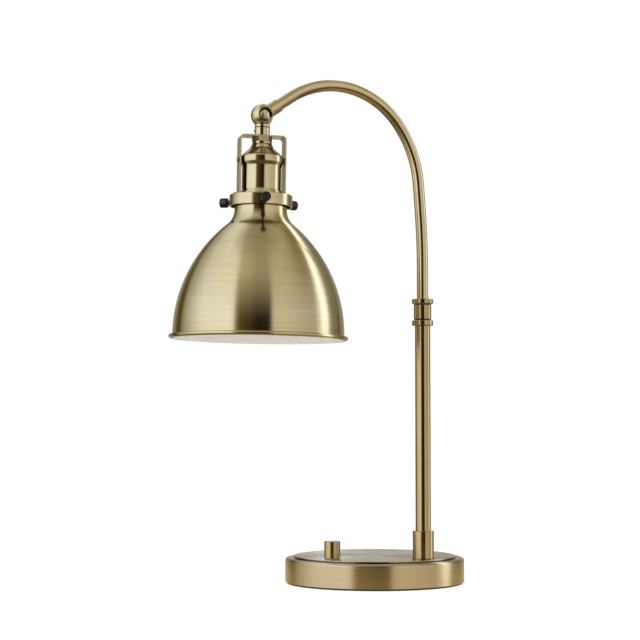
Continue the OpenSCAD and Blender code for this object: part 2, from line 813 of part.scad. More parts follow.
module pivot_screw() {
    head_r = pivot_head_d / 2;
    crown_r = 1.4 * head_r;
    color(brass) translate(pivot) rotate([90, 0, 0]) difference() {
        union() {
            translate([0, 0, -counterbore_at - pivot_nut_h])
                cylinder(d = pivot_d, h = 2 * counterbore_at + pivot_nut_h);
            intersection() {
                translate([0, 0, counterbore_at]) cylinder(r = head_r, h = pivot_head_h);
                translate([0, 0, counterbore_at + pivot_head_h - crown_r]) sphere(r = crown_r);
            }
        }
        translate([-0.6, -head_r, counterbore_at + pivot_head_h - 1.2])
            cube([1.2, pivot_head_d, 2]);
    }
}
module pivot_nut() {
    color(steel) translate(pivot) rotate([-90, 0, 0])
        hex_nut(pivot_nut_d, pivot_d / 2 + seat_fit, counterbore_at + turn_gap, pivot_nut_h);
}
module toothed_washer() {
    washer_r = tooth_washer_d / 2;
    core_t = tooth_washer_t - tooth_depth - turn_gap;
    color(brass_dark) translate(pivot) rotate([90, 0, 0]) difference() {
        union() {
            translate([0, 0, turn_gap - half_t]) cylinder(r = washer_r, h = core_t);
            for (i = [0 : tooth_count - 1]) rotate([0, 0, i * 360 / tooth_count])
                translate([washer_r * 0.45, -0.3, turn_gap - half_t])
                    cube([washer_r * 0.5, 0.6, tooth_washer_t - turn_gap]);
        }
        cylinder(r = pivot_d / 2 + seat_fit, h = 2 * tooth_washer_t, center = true);
    }
}

// Head pieces
module head_knuckle() {
    color(brass) head() difference() {
        union() {
            half_ball(1);
            translate([0, 0, -stem_foot]) cylinder(r = stem_r, h = stem_foot - ball_r / 2);
        }
        other_half_room(-1);
        pivot_hole(pivot_d / 2 + run_fit);
        counterbore(1);
        translate([0, 0, -stem_foot - 1]) cylinder(r = nut_bore_r, h = stem_thread + 1);
        rotate([0, 0, head_turn_angle + 180])
            radial_rod(set_screw_r + seat_fit, -set_screw_depth, nipple_r, stem_r + 1);
    }
}
module stem_set_screw() {
    color(bronze) turned_head() rotate([0, 0, 180]) difference() {
        radial_rod(set_screw_r, -set_screw_depth, nipple_r, stem_r + 0.5);
        translate([stem_r, -0.3, -set_screw_depth - set_screw_r]) cube([1, 0.6, set_screw_d]);
    }
}
module head_nipple() {
    color(steel) head() ring(nipple_r, nipple_bore / 2, -head_nipple_foot, -head_nipple_top);
}
module arch_2d(w, h, r) {
    translate([-w / 2, -h]) square([w, h - r]);
    translate([r - w / 2, -h]) square([w - 2 * r, h]);
    for (side = [-1, 1]) translate([side * (w / 2 - r), -r]) circle(r = r);
}
module yoke() {
    leg_h = fitter_top - yoke_top;
    color(brass) turned_yoke() difference() {
        translate([0, strap_w / 2, -yoke_top]) rotate([90, 0, 0]) linear_extrude(strap_w) {
            difference() {
                arch_2d(yoke_w, leg_h, yoke_corner);
                translate([0, -strap_t])
                    arch_2d(yoke_w - 2 * strap_t, leg_h, yoke_corner - strap_t);
            }
            for (side = [-1, 1]) translate([side * (yoke_w / 2 + yoke_foot / 2), -leg_h])
                translate([-yoke_foot / 2 - 0.5, 0]) square([yoke_foot + 1, strap_t]);
        }
        translate([0, 0, -yoke_nut_top - 1]) cylinder(r = nut_bore_r, h = strap_t + 2);
        rotate([0, 90, 0]) translate([side_screw_depth, 0, 0])
            cylinder(d = side_screw_d + 2 * seat_fit, h = 2 * yoke_w, center = true);
    }
}
module yoke_nut() {
    color(brass) turned_yoke() hex_nut(yoke_nut_d, nut_bore_r, -cap_top, yoke_nut_h);
}
module yoke_side_screws() {
    color(brass_dark) turned_yoke() for (a = [0, 180]) rotate([0, 0, a]) difference() {
        union() {
            radial_rod(side_screw_d / 2, -side_screw_depth, bell_r + 0.2, yoke_w / 2 + 0.5);
            radial_rod(side_head_d / 2, -side_screw_depth, yoke_w / 2, yoke_w / 2 + side_head_h);
        }
        translate([yoke_w / 2 + side_head_h - 0.5, -0.4, -side_screw_depth - side_head_d / 2])
            cube([1, 0.8, side_head_d]);
    }
}
module cap_profile() {
    flare_r0 = cap_ring_r + 0.2;
    flare_r1 = cap_ring_r + 2.3;
    cone_r0 = flare_r1 + 0.2;
    cone_r1 = skirt_r;
    polygon([
        [0, -cap_top], [cap_ring_r - 0.4, -cap_top], [cap_ring_r, -cap_top - 0.4],
        [cap_ring_r, -cap_top - cap_ring_h], [cap_ring_r - 0.5, -cap_top - cap_ring_h],
        [cap_ring_r - 0.5, -flare_top], [flare_r0, -flare_top],
        [flare_r1, -flare_top - cap_flare_h], [flare_r1 - 0.5, -flare_top - cap_flare_h],
        [flare_r1 - 0.5, -cone_top], [cone_r0, -cone_top],
        [cone_r1, -shell_top], [skirt_r, -shell_top - cap_skirt_h], [0, -shell_top - cap_skirt_h]
    ]);
}
module socket_cap() {
    inner_top = head_nipple_foot + 1;
    color(brass) head() difference() {
        rotate_extrude() cap_profile();
        rotate_extrude() polygon([
            [0, -inner_top], [cap_ring_r - 1.5, -inner_top], [cap_ring_r + 1, -cone_top - 1],
            [skirt_r - shell_t, -shell_top - 0.5], [skirt_r - shell_t, -shell_top - cap_skirt_h - 1],
            [0, -shell_top - cap_skirt_h - 1]
        ]);
        translate([0, 0, -shell_top]) cylinder(r = nut_bore_r, h = shell_top);
    }
}
module shell_profile() {
    top = -shell_top;
    waist = top - bell_h;
    foot_z = -fitter_top;
    square_h = bell_h - bell_round - cove_h;
    translate([0, top - bell_round]) square([bell_r - bell_round, bell_round]);
    translate([bell_r - bell_round, top - bell_round]) circle(r = bell_round);
    translate([0, top - bell_round - square_h]) square([bell_r, square_h]);
    translate([0, waist]) polygon([[0, 0], [shell_r, 0], [bell_r, cove_h], [0, cove_h]]);
    translate([0, foot_z]) square([shell_r, shell_h - bell_h]);
    translate([0, foot_z]) polygon([
        [0, 0], [bell_r, 0], [bell_r, foot_h - cove_h], [shell_r, foot_h], [0, foot_h]
    ]);
}
module socket_shell() {
    color(brass) head() difference() {
        rotate_extrude() intersection() {
            shell_profile();
            translate([0, -fitter_top]) square([bell_r, shell_h]);
        }
        translate([0, 0, -fitter_top - 1]) cylinder(r = shell_bore_r, h = shell_h + 2);
        translate([0, 0, -shell_top - cap_skirt_h - 0.5])
            cylinder(r = bell_bore_r, h = cap_skirt_h + 2);
    }
}
module socket_insulator() {
    color(phenolic) head() difference() {
        translate([0, 0, -insulator_foot])
            cylinder(r = insulator_r, h = insulator_foot - insulator_top);
        translate([0, 0, -insulator_foot - 1])
            cylinder(r = insulator_bore_r, h = insulator_foot - screw_top + 1);
        translate([0, 0, -screw_top - 1])
            cylinder(r = insulator_bore_r - screw_rim, h = screw_top - contact_top + 1);
        translate([0, 0, -contact_top - 1])
            cylinder(d = lead_d + pass_gap, h = insulator_roof + 2);
    }
}
module screw_shell() {
    color(brass) head() {
        ring(screw_r + screw_t, screw_r, -screw_top - screw_len, -screw_top);
        ring(screw_r + screw_t, screw_r - screw_rim, -screw_top - screw_t, -screw_top);
    }
}
module centre_contact() {
    color(brass) head() {
        translate([0, 0, -contact_top - contact_t]) cylinder(d = contact_d, h = contact_t);
        translate([0, 0, -contact_top - contact_t]) intersection() {
            sphere(r = contact_h);
            translate([0, 0, -contact_h]) cylinder(r = contact_h, h = contact_h + contact_t / 2);
        }
    }
}
module fitter_profile(t) {
    wall_r = fitter_r - t;
    roof = fitter_h - t;
    square([wall_r - fitter_edge_r, roof]);
    square([wall_r, roof - fitter_edge_r]);
    translate([wall_r - fitter_edge_r, roof - fitter_edge_r]) circle(r = fitter_edge_r);
}
module fitter_ring() {
    color(brass) turned_head() difference() {
        translate([0, 0, -fitter_top - fitter_h]) rotate_extrude() difference() {
            fitter_profile(0);
            fitter_profile(fitter_t);
        }
        translate([0, 0, -fitter_top - fitter_t - 1])
            cylinder(r = insulator_r + seat_fit, h = fitter_t + 2);
        for (i = [0 : thumb_count - 1]) rotate([0, 0, i * 360 / thumb_count - 90])
            radial_rod(thumb_d / 2 + run_fit, -thumb_depth, fitter_r - 2 * fitter_t, fitter_r + 1);
    }
}
module clamp_nut() {
    notch_count = 8;
    color(brass_dark) turned_head() difference() {
        ring(clamp_d / 2, insulator_r + seat_fit, -clamp_top - clamp_h, -clamp_top);
        for (i = [0 : notch_count - 1]) rotate([0, 0, i * 360 / notch_count])
            translate([clamp_d / 2, 0, -clamp_top - clamp_h - 1])
                cylinder(r = clamp_notch_r, h = clamp_h + 2);
    }
}
// Everything inside the shade's outer face, drawn in by t
module shade_profile(t) {
    neck_r = shade_neck_r - t;
    reach = (dome_r - t) / (dome_r + flare_r);
    join = [
        dome_c[0] + (flare_c[0] - dome_c[0]) * reach,
        dome_c[1] + (flare_c[1] - dome_c[1]) * reach
    ];
    mirror([0, 1]) {
        translate([0, neck_top_depth]) square([neck_r, flare_c[1] - neck_top_depth]);
        difference() {
            polygon([[0, flare_c[1]], flare_c, join, [0, join[1]]]);
            translate(flare_c) circle(r = flare_r + t);
        }
        intersection() {
            translate(dome_c) circle(r = dome_r - t);
            translate([0, join[1]]) square([2 * mouth_r, dome_c[1] - join[1]]);
        }
        translate([0, dome_c[1]]) square([mouth_r - t, band_h]);
    }
}
module shade() {
    color(brass) head() rotate_extrude() {
        difference() {
            shade_profile(0);
            shade_profile(sheet_t);
        }
        translate([shade_neck_r - sheet_t, -neck_top_depth - sheet_t])
            square([sheet_t + lip_out, sheet_t]);
        translate([bead_c[0], -bead_c[1]]) circle(r = bead_r);
    }
}
module thumb_screw(i) {
    knurls = 22;
    head_r = thumb_head_d / 2;
    color(bronze) turned_head() rotate([0, 0, i * 360 / thumb_count - 90]) {
        radial_rod(thumb_d / 2, -thumb_depth, thumb_tip, thumb_out - 1);
        translate([thumb_out - thumb_head_len, 0, -thumb_depth]) rotate([0, 90, 0])
            linear_extrude(thumb_head_len) polygon([
                for (k = [0 : 2 * knurls - 1])
                    let (r = k % 2 == 0 ? head_r : head_r - 0.4, a = k * 180 / knurls)
                        [r * cos(a), r * sin(a)]
            ]);
    }
}
module thumb_screw_1() {
    thumb_screw(0);
}
module thumb_screw_2() {
    thumb_screw(1);
}
module thumb_screw_3() {
    thumb_screw(2);
}

// Switch and knob pieces
module switch_body() {
    color(phenolic) at_knob() difference() {
        union() {
            translate([0, 0, switch_z]) cylinder(d = switch_d, h = switch_h);
            translate([0, 0, cover_inner_z]) cylinder(d = neck_d, h = neck_top - cover_inner_z);
        }
        translate([0, 0, shaft_z - turn_gap])
            cylinder(d = shaft_d + 2 * run_fit, h = neck_top);
    }
}
module switch_nut() {
    color(steel) at_knob()
        hex_nut(switch_nut_d, neck_d / 2 + seat_fit, base_h, switch_nut_h);
}
module switch_shaft() {
    color(steel) at_knob() translate([0, 0, shaft_z]) cylinder(d = shaft_d, h = shaft_top - shaft_z);
}
module switch_knob() {
    knob_top = knob_z + knob_h;
    color(brass) at_knob() difference() {
        edged_ring(knob_d / 2, 0.01, knob_z, knob_top, 0.5);
        translate([0, 0, knob_z - 1]) cylinder(r = knob_recess_r, h = knob_recess_top - knob_z + 1);
        translate([0, 0, knob_z]) cylinder(d = shaft_d + 2 * seat_fit, h = shaft_top - knob_z);
        rotate([0, 0, 70])
            radial_rod(set_screw_r + seat_fit, knob_screw_z, shaft_d / 2, knob_d / 2 + 1);
    }
}
module knob_set_screw() {
    color(bronze) at_knob() rotate([0, 0, 70])
        radial_rod(set_screw_r, knob_screw_z, shaft_d / 2, knob_d / 2 - 0.6);
}

// Leads and connectors
module wire_connectors() {
    color(wire) for (angle = [pole_angle, knob_angle]) rotate([0, 0, angle])
        translate([connector_from, 0, connector_z]) rotate([0, 90, 0])
            cylinder(r1 = connector_d / 2 - 1, r2 = connector_d / 2, h = connector_len);
}
// A lead along the bottom plate from the connector, then up at distance far to height top
module rising_lead(angle, far, top) {
    rotate([0, 0, angle]) {
        radial_rod(lead_d / 2, lead_z, connector_to, far - lead_bend);
        translate([far - lead_bend, 0, lead_z + lead_bend]) rotate([90, 0, 0])
            rotate([0, 0, -90]) rotate_extrude(angle = 90)
                translate([lead_bend, 0]) circle(d = lead_d);
        translate([far, 0, lead_z + lead_bend]) cylinder(d = lead_d, h = top - lead_z - lead_bend);
    }
}
module switch_lead() {
    color(wire) rising_lead(knob_angle, knob_at, switch_z);
}
module pole_lead() {
    color(wire) rising_lead(pole_angle, pole_at, pole_lead_top);
}
module head_lead() {
    color(wire) head() translate([0, 0, -contact_top])
        cylinder(d = lead_d, h = contact_top - head_nipple_top - 1);
}

felt_pad();
bottom_plate();
bottom_screws();
base_weight();
base_cover();
cord_bushing();
pole_nipple();
pole_washer();
pole_locknut();
pole_plug();
pole_collar();
lower_tube();
coupling_socket();
bearing_bush();
swivel_washer();
switch_body();
switch_nut();
wire_connectors();
switch_lead();
pole_lead();
switch_shaft();
switch_knob();
knob_set_screw();
coupling_cap();
swivel_spindle();
stop_collar();
spindle_nut();
arc_tube();
arm_lead();
arm_knuckle();
pivot_screw();
pivot_nut();
toothed_washer();
head_knuckle();
stem_set_screw();
head_nipple();
yoke();
yoke_nut();
yoke_side_screws();
socket_cap();
socket_shell();
socket_insulator();
screw_shell();
centre_contact();
fitter_ring();
clamp_nut();
shade();
head_lead();
thumb_screw_1();
thumb_screw_2();
thumb_screw_3();
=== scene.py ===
import json
import math
import random
import bpy
import bmesh
from mathutils import Matrix, Vector


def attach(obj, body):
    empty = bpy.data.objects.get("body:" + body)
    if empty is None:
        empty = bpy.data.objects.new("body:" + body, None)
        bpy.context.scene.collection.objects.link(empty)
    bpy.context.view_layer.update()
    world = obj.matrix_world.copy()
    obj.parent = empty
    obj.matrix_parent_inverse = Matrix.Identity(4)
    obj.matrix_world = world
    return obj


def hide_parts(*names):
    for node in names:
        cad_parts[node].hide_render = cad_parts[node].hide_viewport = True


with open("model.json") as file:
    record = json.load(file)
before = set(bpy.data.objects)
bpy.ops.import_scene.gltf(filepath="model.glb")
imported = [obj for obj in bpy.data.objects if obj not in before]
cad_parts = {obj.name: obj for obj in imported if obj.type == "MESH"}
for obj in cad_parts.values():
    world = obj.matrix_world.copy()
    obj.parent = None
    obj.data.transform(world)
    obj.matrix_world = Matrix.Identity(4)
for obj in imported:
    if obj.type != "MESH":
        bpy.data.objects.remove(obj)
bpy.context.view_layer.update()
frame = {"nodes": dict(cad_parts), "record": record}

random.seed(7)
nodes = frame["nodes"]
scene = bpy.context.scene
scene.view_settings.view_transform = "Standard"
MM = 0.001

# Sizes in millimetres and degrees, the same as the CAD model's: the base and the pad under it
BASE_R, BASE_H, LEDGE_W, STEP_H, SHOULDER_R, COVER_T = 95.5, 29.0, 9.0, 2.1, 3.0, 1.2
FELT_T, FELT_R, SCREW_AT, SCREW_HOLE_R, SCREW_ANGLES = 1.5, 93.9, 62.0, 4.4, (30, 150, 270)

# Knob
KNOB_AT, KNOB_ANGLE, KNOB_R, KNOB_Z, KNOB_H = 66.0, -154.5, 8.4, 29.7, 17.6
KNOB_RECESS_R, KNOB_RECESS_H = 6.8, 5.0

# Pole and the coupling at its top
POLE_AT, POLE_ANGLE, TUBE_R, TUBE_BORE_R, TUBE_SEAT = 68.0, -64.3, 8.0, 6.8, 11.8
COLLAR_R, COLLAR_H, SEAT_FIT, SPINDLE_R = 11.0, 28.7, 0.05, 5.0
RING_R, RING_H, COUPLING_Z, COUPLING_R, COUPLING_H = 11.05, 5.5, 272.0, 9.2, 14.8
GROOVE_H, GROOVE_DEPTH, CAP_H = 1.3, 0.35, 5.1

# Arc: a straight rise, then stretches of (radius, turn)
ARC_R, ARC_Z, RISE, TIP_STOP = 5.9, 296.7, 36.2, 12.5
ARC_STRETCHES = ((810.0, 4.1), (4400.0, 0.4), (119.8, 33.6), (87.2, 85.9), (4800.0, 0.3))

# Head: heights are counted downwards from the ball's centre
HEAD_LEAN, HEAD_TURN, YOKE_TURN = 1.0, -12.0, -8.0
YOKE_W, YOKE_TOP, STRAP_W, STRAP_T, YOKE_CORNER, YOKE_FOOT = 48.0, 21.0, 17.5, 1.6, 4.5, 4.5
CAP_TOP, CAP_RING_R, CAP_RING_H, CAP_LINE, CAP_FLARE_H, CAP_SKIRT_H = 27.2, 10.0, 2.5, 0.4, 4.0, 4.2
SHELL_TOP, SHELL_R, SHELL_T, BELL_R, BELL_H, BELL_ROUND = 41.7, 20.0, 1.0, 22.1, 11.0, 2.4
COVE_H, FOOT_H, NUT_BORE_R = 4.0, 5.4, 4.95
FITTER_TOP, FITTER_R, FITTER_H, FITTER_T, FITTER_HOLE_R = 82.3, 32.1, 11.6, 1.6, 16.9
THUMB_DEPTH, THUMB_OUT, THUMB_LEN, THUMB_R, SHANK_R, THUMB_TIP = 88.5, 44.6, 7.4, 4.9, 1.7, 26.9
NECK_R, NECK_TOP, LIP, FLARE_R, DOME_R, MOUTH_R = 26.7, 85.6, 1.8, 20.0, 145.0, 87.0
MOUTH, BAND_H, BEAD_R, BEAD_BITE, SHEET_T, LINING_T = 228.9, 4.4, 2.1, 0.3, 1.0, 0.2


def polar(distance, angle):
    a = math.radians(angle)
    return Vector((distance * math.cos(a), distance * math.sin(a), 0.0))


# The arc's line in its own plane: [reach, height, heading] at each sample
SAMPLE_TURN, FEWEST_SAMPLES = 1.2, 6


def arc_line():
    line = [[0.0, ARC_Z, 90.0], [0.0, ARC_Z + RISE, 90.0]]
    for radius, turn in ARC_STRETCHES:
        x, z, heading = line[-1]
        h = math.radians(heading)
        cx, cz = x + radius * math.sin(h), z - radius * math.cos(h)
        steps = max(FEWEST_SAMPLES, math.ceil(turn / SAMPLE_TURN))
        for i in range(1, steps + 1):
            now = heading - turn * i / steps
            h = math.radians(now)
            line.append([cx - radius * math.sin(h), cz + radius * math.cos(h), now])
    return line


ARC = arc_line()
pole = polar(POLE_AT, POLE_ANGLE)
knob = polar(KNOB_AT, KNOB_ANGLE)
end_reach, end_height, end_heading = ARC[-1]
end_turn = math.radians(end_heading)
pivot = Vector((pole.x - end_reach - TIP_STOP * math.cos(end_turn), pole.y,
                end_height + TIP_STOP * math.sin(end_turn)))

# Frames: pieces are made in millimetres about Z, then placed
AT_BASE = Matrix.Scale(MM, 4)
AT_POLE = AT_BASE @ Matrix.Translation(pole)
AT_KNOB = AT_BASE @ Matrix.Translation(knob)
AT_PIVOT = AT_BASE @ Matrix.Translation(pivot) @ Matrix.Rotation(math.radians(90), 4, "X")
AT_HEAD = AT_BASE @ Matrix.Translation(pivot) @ Matrix.Rotation(math.radians(HEAD_LEAN), 4, "Y")
AT_TURNED = AT_HEAD @ Matrix.Rotation(math.radians(HEAD_TURN), 4, "Z")
AT_YOKE = AT_HEAD @ Matrix.Rotation(math.radians(YOKE_TURN), 4, "Z")

# Camera, fitted to the photo's perspective
VIEW_ANGLE, VIEW_PITCH = -20.9, 3.29
CAMERA_AT, LENS, SENSOR_W, FAR = (-0.7095, -1.6946, 0.1752), 96.0, 36.0, 50.0
cam_data = bpy.data.cameras.new("camera")
cam_data.lens = LENS
cam_data.sensor_width = SENSOR_W
cam_data.clip_end = FAR
cam = bpy.data.objects.new("camera", cam_data)
cam.location = CAMERA_AT
cam.rotation_euler = (math.radians(90.0 + VIEW_PITCH), 0.0, math.radians(VIEW_ANGLE))
scene.collection.objects.link(cam)
scene.camera = cam


# Shape helpers. A turn below STRAIGHT makes no corner, and a radius below ON_AXIS is a point on the axis
STRAIGHT, ON_AXIS, FILLET_STEP, UV_NAME = 1e-4, 1e-6, math.radians(15), "along"


def turned_by(v, t):
    return Vector((v.x * math.cos(t) - v.y * math.sin(t), v.x * math.sin(t) + v.y * math.cos(t)))


def rounded(corners):
    """A closed outline of (r, z, fillet) as points with outward normals, listed anticlockwise."""
    out = []
    n = len(corners)
    for i, (r, z, fillet) in enumerate(corners):
        here = Vector((r, z))
        before = Vector(corners[i - 1][:2])
        after = Vector(corners[(i + 1) % n][:2])
        a, b = (here - before).normalized(), (after - here).normalized()
        na, nb = Vector((a.y, -a.x)), Vector((b.y, -b.x))
        turn = math.atan2(a.x * b.y - a.y * b.x, a.dot(b))
        if abs(turn) < STRAIGHT:
            out.append((here, na))
            continue
        if fillet <= 0:
            out += [(here, na), (here, nb)]
            continue
        cut = fillet * math.tan(abs(turn) / 2)
        side = 1 if turn > 0 else -1
        centre = here - a * cut - na * fillet * side
        steps = max(2, math.ceil(abs(turn) / FILLET_STEP))
        for k in range(steps + 1):
            nrm = turned_by(na, turn * k / steps)
            out.append((centre + nrm * fillet * side, nrm))
    return out


def arc_points(cx, cz, radius, a0, a1, steps, out):
    """Points of an arc with normals, away from its centre where out is 1 and towards it where out is -1."""
    pts = []
    for k in range(steps + 1):
        t = a0 + (a1 - a0) * k / steps
        n = Vector((math.cos(t), math.sin(t)))
        pts.append((Vector((cx, cz)) + n * radius, n * out))
    return pts


def finish_mesh(name, verts, faces, normals, place, body, stands_for, material, uvs=None):
    """Places a mesh with its own normals, and ties it to its body and to the CAD nodes it stands for."""
    mesh = bpy.data.meshes.new(name)
    mesh.from_pydata([place @ Vector(v) for v in verts], [], faces)
    rot = place.to_3x3().normalized()
    mesh.shade_smooth()
    mesh.normals_split_custom_set_from_vertices([(rot @ Vector(n)).normalized() for n in normals])
    if uvs:
        layer = mesh.uv_layers.new(name=UV_NAME)
        for loop in mesh.loops:
            layer.data[loop.index].uv = uvs[loop.vertex_index]
    mesh.materials.append(material)
    ob = bpy.data.objects.new(name, mesh)
    scene.collection.objects.link(ob)
    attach(ob, body)
    if stands_for:
        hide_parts(*stands_for)
    return ob


def lathe(name, outline, place, body, stands_for, material, around, wave=None):
    """Turns an outline of (point, normal) about Z. wave(angle, index) moves a point inwards."""
    verts, normals, faces, rows = [], [], [], []
    for i, (p, nrm) in enumerate(outline):
        if p.x < ON_AXIS:
            rows.append([len(verts)] * around)
            verts.append((0.0, 0.0, p.y))
            normals.append((0.0, 0.0, nrm.y))
            continue
        row = []
        for k in range(around):
            t = 2 * math.pi * k / around
            r = p.x - (wave(t, i) if wave else 0.0)
            row.append(len(verts))
            verts.append((r * math.cos(t), r * math.sin(t), p.y))
            normals.append((nrm.x * math.cos(t), nrm.x * math.sin(t), nrm.y))
        rows.append(row)
    for i in range(len(rows)):
        a, b = rows[i], rows[(i + 1) % len(rows)]
        if outline[i][0] == outline[(i + 1) % len(rows)][0]:
            continue
        for k in range(around):
            j = (k + 1) % around
            face = []
            for v in (a[k], a[j], b[j], b[k]):
                if v not in face:
                    face.append(v)
            if len(face) > 2:
                faces.append(face)
    return finish_mesh(name, verts, faces, normals, place, body, stands_for, material)


def sweep(name, section, stations, place, body, stands_for, material, lengths):
    """Carries a closed section of (point, normal) along stations of (centre, side, up)."""
    verts, normals, uvs, faces = [], [], [], []
    n = len(section)
    for (c, side, up), s in zip(stations, lengths):
        for k, (p, nrm) in enumerate(section):
            verts.append(c + side * p.x + up * p.y)
            normals.append(side * nrm.x + up * nrm.y)
            uvs.append((k / n, s * MM))
    turned = stations[0][1].cross(stations[0][2]).dot(stations[1][0] - stations[0][0]) < 0
    for i in range(len(stations) - 1):
        for k in range(n):
            j = (k + 1) % n
            face = (i * n + k, i * n + j, (i + 1) * n + j, (i + 1) * n + k)
            faces.append(face[::-1] if turned else face)
    for row, first in ((0, True), (len(stations) - 1, False)):
        side, up = stations[row][1:]
        ahead = side.cross(up) * (-1 if first else 1) * (-1 if turned else 1)
        base = len(verts)
        for v in range(row * n, row * n + n):
            verts.append(verts[v])
            normals.append(ahead)
            uvs.append(uvs[v])
        cap = list(range(base, base + n))
        faces.append(cap if first == turned else cap[::-1])
    return finish_mesh(name, verts, faces, normals, place, body, stands_for, material, uvs)


# Node helpers
def math_node(tree, op, a, b=None):
    """One step of arithmetic; a and b are sockets or numbers."""
    n = tree.nodes.new("ShaderNodeMath")
    n.operation = op
    for i, v in enumerate((a, b)):
        if v is None:
            continue
        if isinstance(v, (int, float)):
            n.inputs[i].default_value = v
        else:
            tree.links.new(v, n.inputs[i])
    return n.outputs[0]


def ramp(tree, fac, stops):
    """A colour ramp of (position, colour)."""
    n = tree.nodes.new("ShaderNodeValToRGB")
    el = n.color_ramp.elements
    while len(el) > 1:
        el.remove(el[-1])
    for i, (pos, col) in enumerate(stops):
        e = el[0] if i == 0 else el.new(pos)
        e.position = pos
        e.color = (*col, 1.0)
    tree.links.new(fac, n.inputs[0])
    return n.outputs[0]


def noise(tree, vector, scale, detail, rough):
    n = tree.nodes.new("ShaderNodeTexNoise")
    n.inputs["Scale"].default_value = scale
    n.inputs["Detail"].default_value = detail
    n.inputs["Roughness"].default_value = rough
    tree.links.new(vector, n.inputs["Vector"])
    return n.outputs["Fac"]


def map_range(tree, value, lo, hi, out_lo, out_hi):
    n = tree.nodes.new("ShaderNodeMapRange")
    for k, v in zip(("From Min", "From Max", "To Min", "To Max"), (lo, hi, out_lo, out_hi)):
        n.inputs[k].default_value = v
    tree.links.new(value, n.inputs["Value"])
    return n.outputs[0]


def fresh(name):
    """A new material, its node tree and its shader."""
    m = bpy.data.materials.new(name)
    m.use_nodes = True
    return m, m.node_tree, m.node_tree.nodes["Principled BSDF"]


def combine(tree, x, y, z):
    n = tree.nodes.new("ShaderNodeCombineXYZ")
    for i, v in enumerate((x, y, z)):
        tree.links.new(v, n.inputs[i])
    return n.outputs[0]


def mix_colour(tree, factor, a, b, blend="MIX"):
    """Blends from a to b, each a socket or a colour."""
    n = tree.nodes.new("ShaderNodeMix")
    n.data_type = "RGBA"
    n.blend_type = blend
    tree.links.new(factor, n.inputs["Factor"])
    for socket, value in (("A", a), ("B", b)):
        if isinstance(value, tuple):
            n.inputs[socket].default_value = (*value, 1.0)
        else:
            tree.links.new(value, n.inputs[socket])
    return n.outputs["Result"]


def mix_shader(tree, factor, a, b):
    n = tree.nodes.new("ShaderNodeMixShader")
    tree.links.new(factor, n.inputs[0])
    tree.links.new(a, n.inputs[1])
    tree.links.new(b, n.inputs[2])
    return n.outputs[0]


def add_bump(tree, p, height, strength, depth):
    n = tree.nodes.new("ShaderNodeBump")
    n.inputs["Strength"].default_value = strength
    n.inputs["Distance"].default_value = depth
    tree.links.new(height, n.inputs["Height"])
    tree.links.new(n.outputs[0], p.inputs["Normal"])


def add_tangent(tree, p, direction):
    """Says which way brushed lines run, about Z or by the UV map: highlights stretch across them."""
    n = tree.nodes.new("ShaderNodeTangent")
    n.direction_type = direction
    if direction == "UV_MAP":
        n.uv_map = UV_NAME
    else:
        n.axis = "Z"
    tree.links.new(n.outputs[0], p.inputs["Tangent"])


# Brushed metal: noise scales per metre, each noise's share of the tone, and the relief's depth in metres
FINE_ACROSS, FINE_ALONG, BROAD_ACROSS, BROAD_ALONG, CLOUD_SCALE = 26.0, 3200.0, 9.0, 420.0, 22.0
FINE_SHARE, BROAD_SHARE, CLOUD_SHARE = 0.40, 0.38, 0.22
TONE_SPREAD, MID_STOP, BROAD_RELIEF, BRUSH_DEPTH, GRAIN_DEPTH = 0.16, 0.15, 0.6, 0.0002, 0.0003
TONE_RANGE, SMOOTHER, ROUGHER, QUARTER_TURN, NOISE_R = (0.38, 0.62), 0.86, 1.16, 0.25, 0.006
# The warm dark tint of painted shade in grooves, recesses and joints
SOFT_EDGE, SHADE_TINT = 0.15, (1.0, 0.88, 0.7)


def brush_lines(tree, x, y, s, across, along, detail, rough):
    """Noise drawn out into lines: it changes slowly round the piece and quickly along it."""
    drawn_out = combine(tree, math_node(tree, "MULTIPLY", x, across), math_node(tree, "MULTIPLY", y, across),
                        math_node(tree, "MULTIPLY", s, along))
    return noise(tree, drawn_out, 1.0, detail, rough)


def brushed(tree, p, x, y, s, flat, light, dark, rough, aniso, contrast, bump):
    """Metal with fine brushed lines; x and y run round the piece, s along it, all in metres."""
    fine = brush_lines(tree, x, y, s, FINE_ACROSS, FINE_ALONG, 3.0, 0.6)
    broad = brush_lines(tree, x, y, s, BROAD_ACROSS, BROAD_ALONG, 2.0, 0.5)
    cloud = noise(tree, flat, CLOUD_SCALE, 3.0, 0.55)
    tone = math_node(tree, "ADD", math_node(tree, "MULTIPLY", fine, FINE_SHARE),
                     math_node(tree, "ADD", math_node(tree, "MULTIPLY", broad, BROAD_SHARE),
                               math_node(tree, "MULTIPLY", cloud, CLOUD_SHARE)))
    mid = [0.5 * (a + b) for a, b in zip(light, dark)]
    spread = TONE_SPREAD / contrast
    colour = ramp(tree, tone, [(0.5 - spread, dark), (0.5 - spread * MID_STOP, mid), (0.5 + spread, light)])
    tree.links.new(colour, p.inputs["Base Color"])
    roughness = map_range(tree, tone, *TONE_RANGE, rough * SMOOTHER, rough * ROUGHER)
    tree.links.new(roughness, p.inputs["Roughness"])
    p.inputs["Metallic"].default_value = 1.0
    p.inputs["Anisotropic"].default_value = aniso
    p.inputs["Anisotropic Rotation"].default_value = QUARTER_TURN
    height = math_node(tree, "ADD", fine, math_node(tree, "MULTIPLY", broad, BROAD_RELIEF))
    add_bump(tree, p, height, bump, BRUSH_DEPTH)


def window(tree, value, lo, hi):
    """1 between lo and hi, given in millimetres, with soft edges."""
    edge = SOFT_EDGE * MM
    rise_in = map_range(tree, value, lo * MM - edge, lo * MM + edge, 0.0, 1.0)
    fall_out = map_range(tree, value, hi * MM - edge, hi * MM + edge, 1.0, 0.0)
    return math_node(tree, "MULTIPLY", rise_in, fall_out)


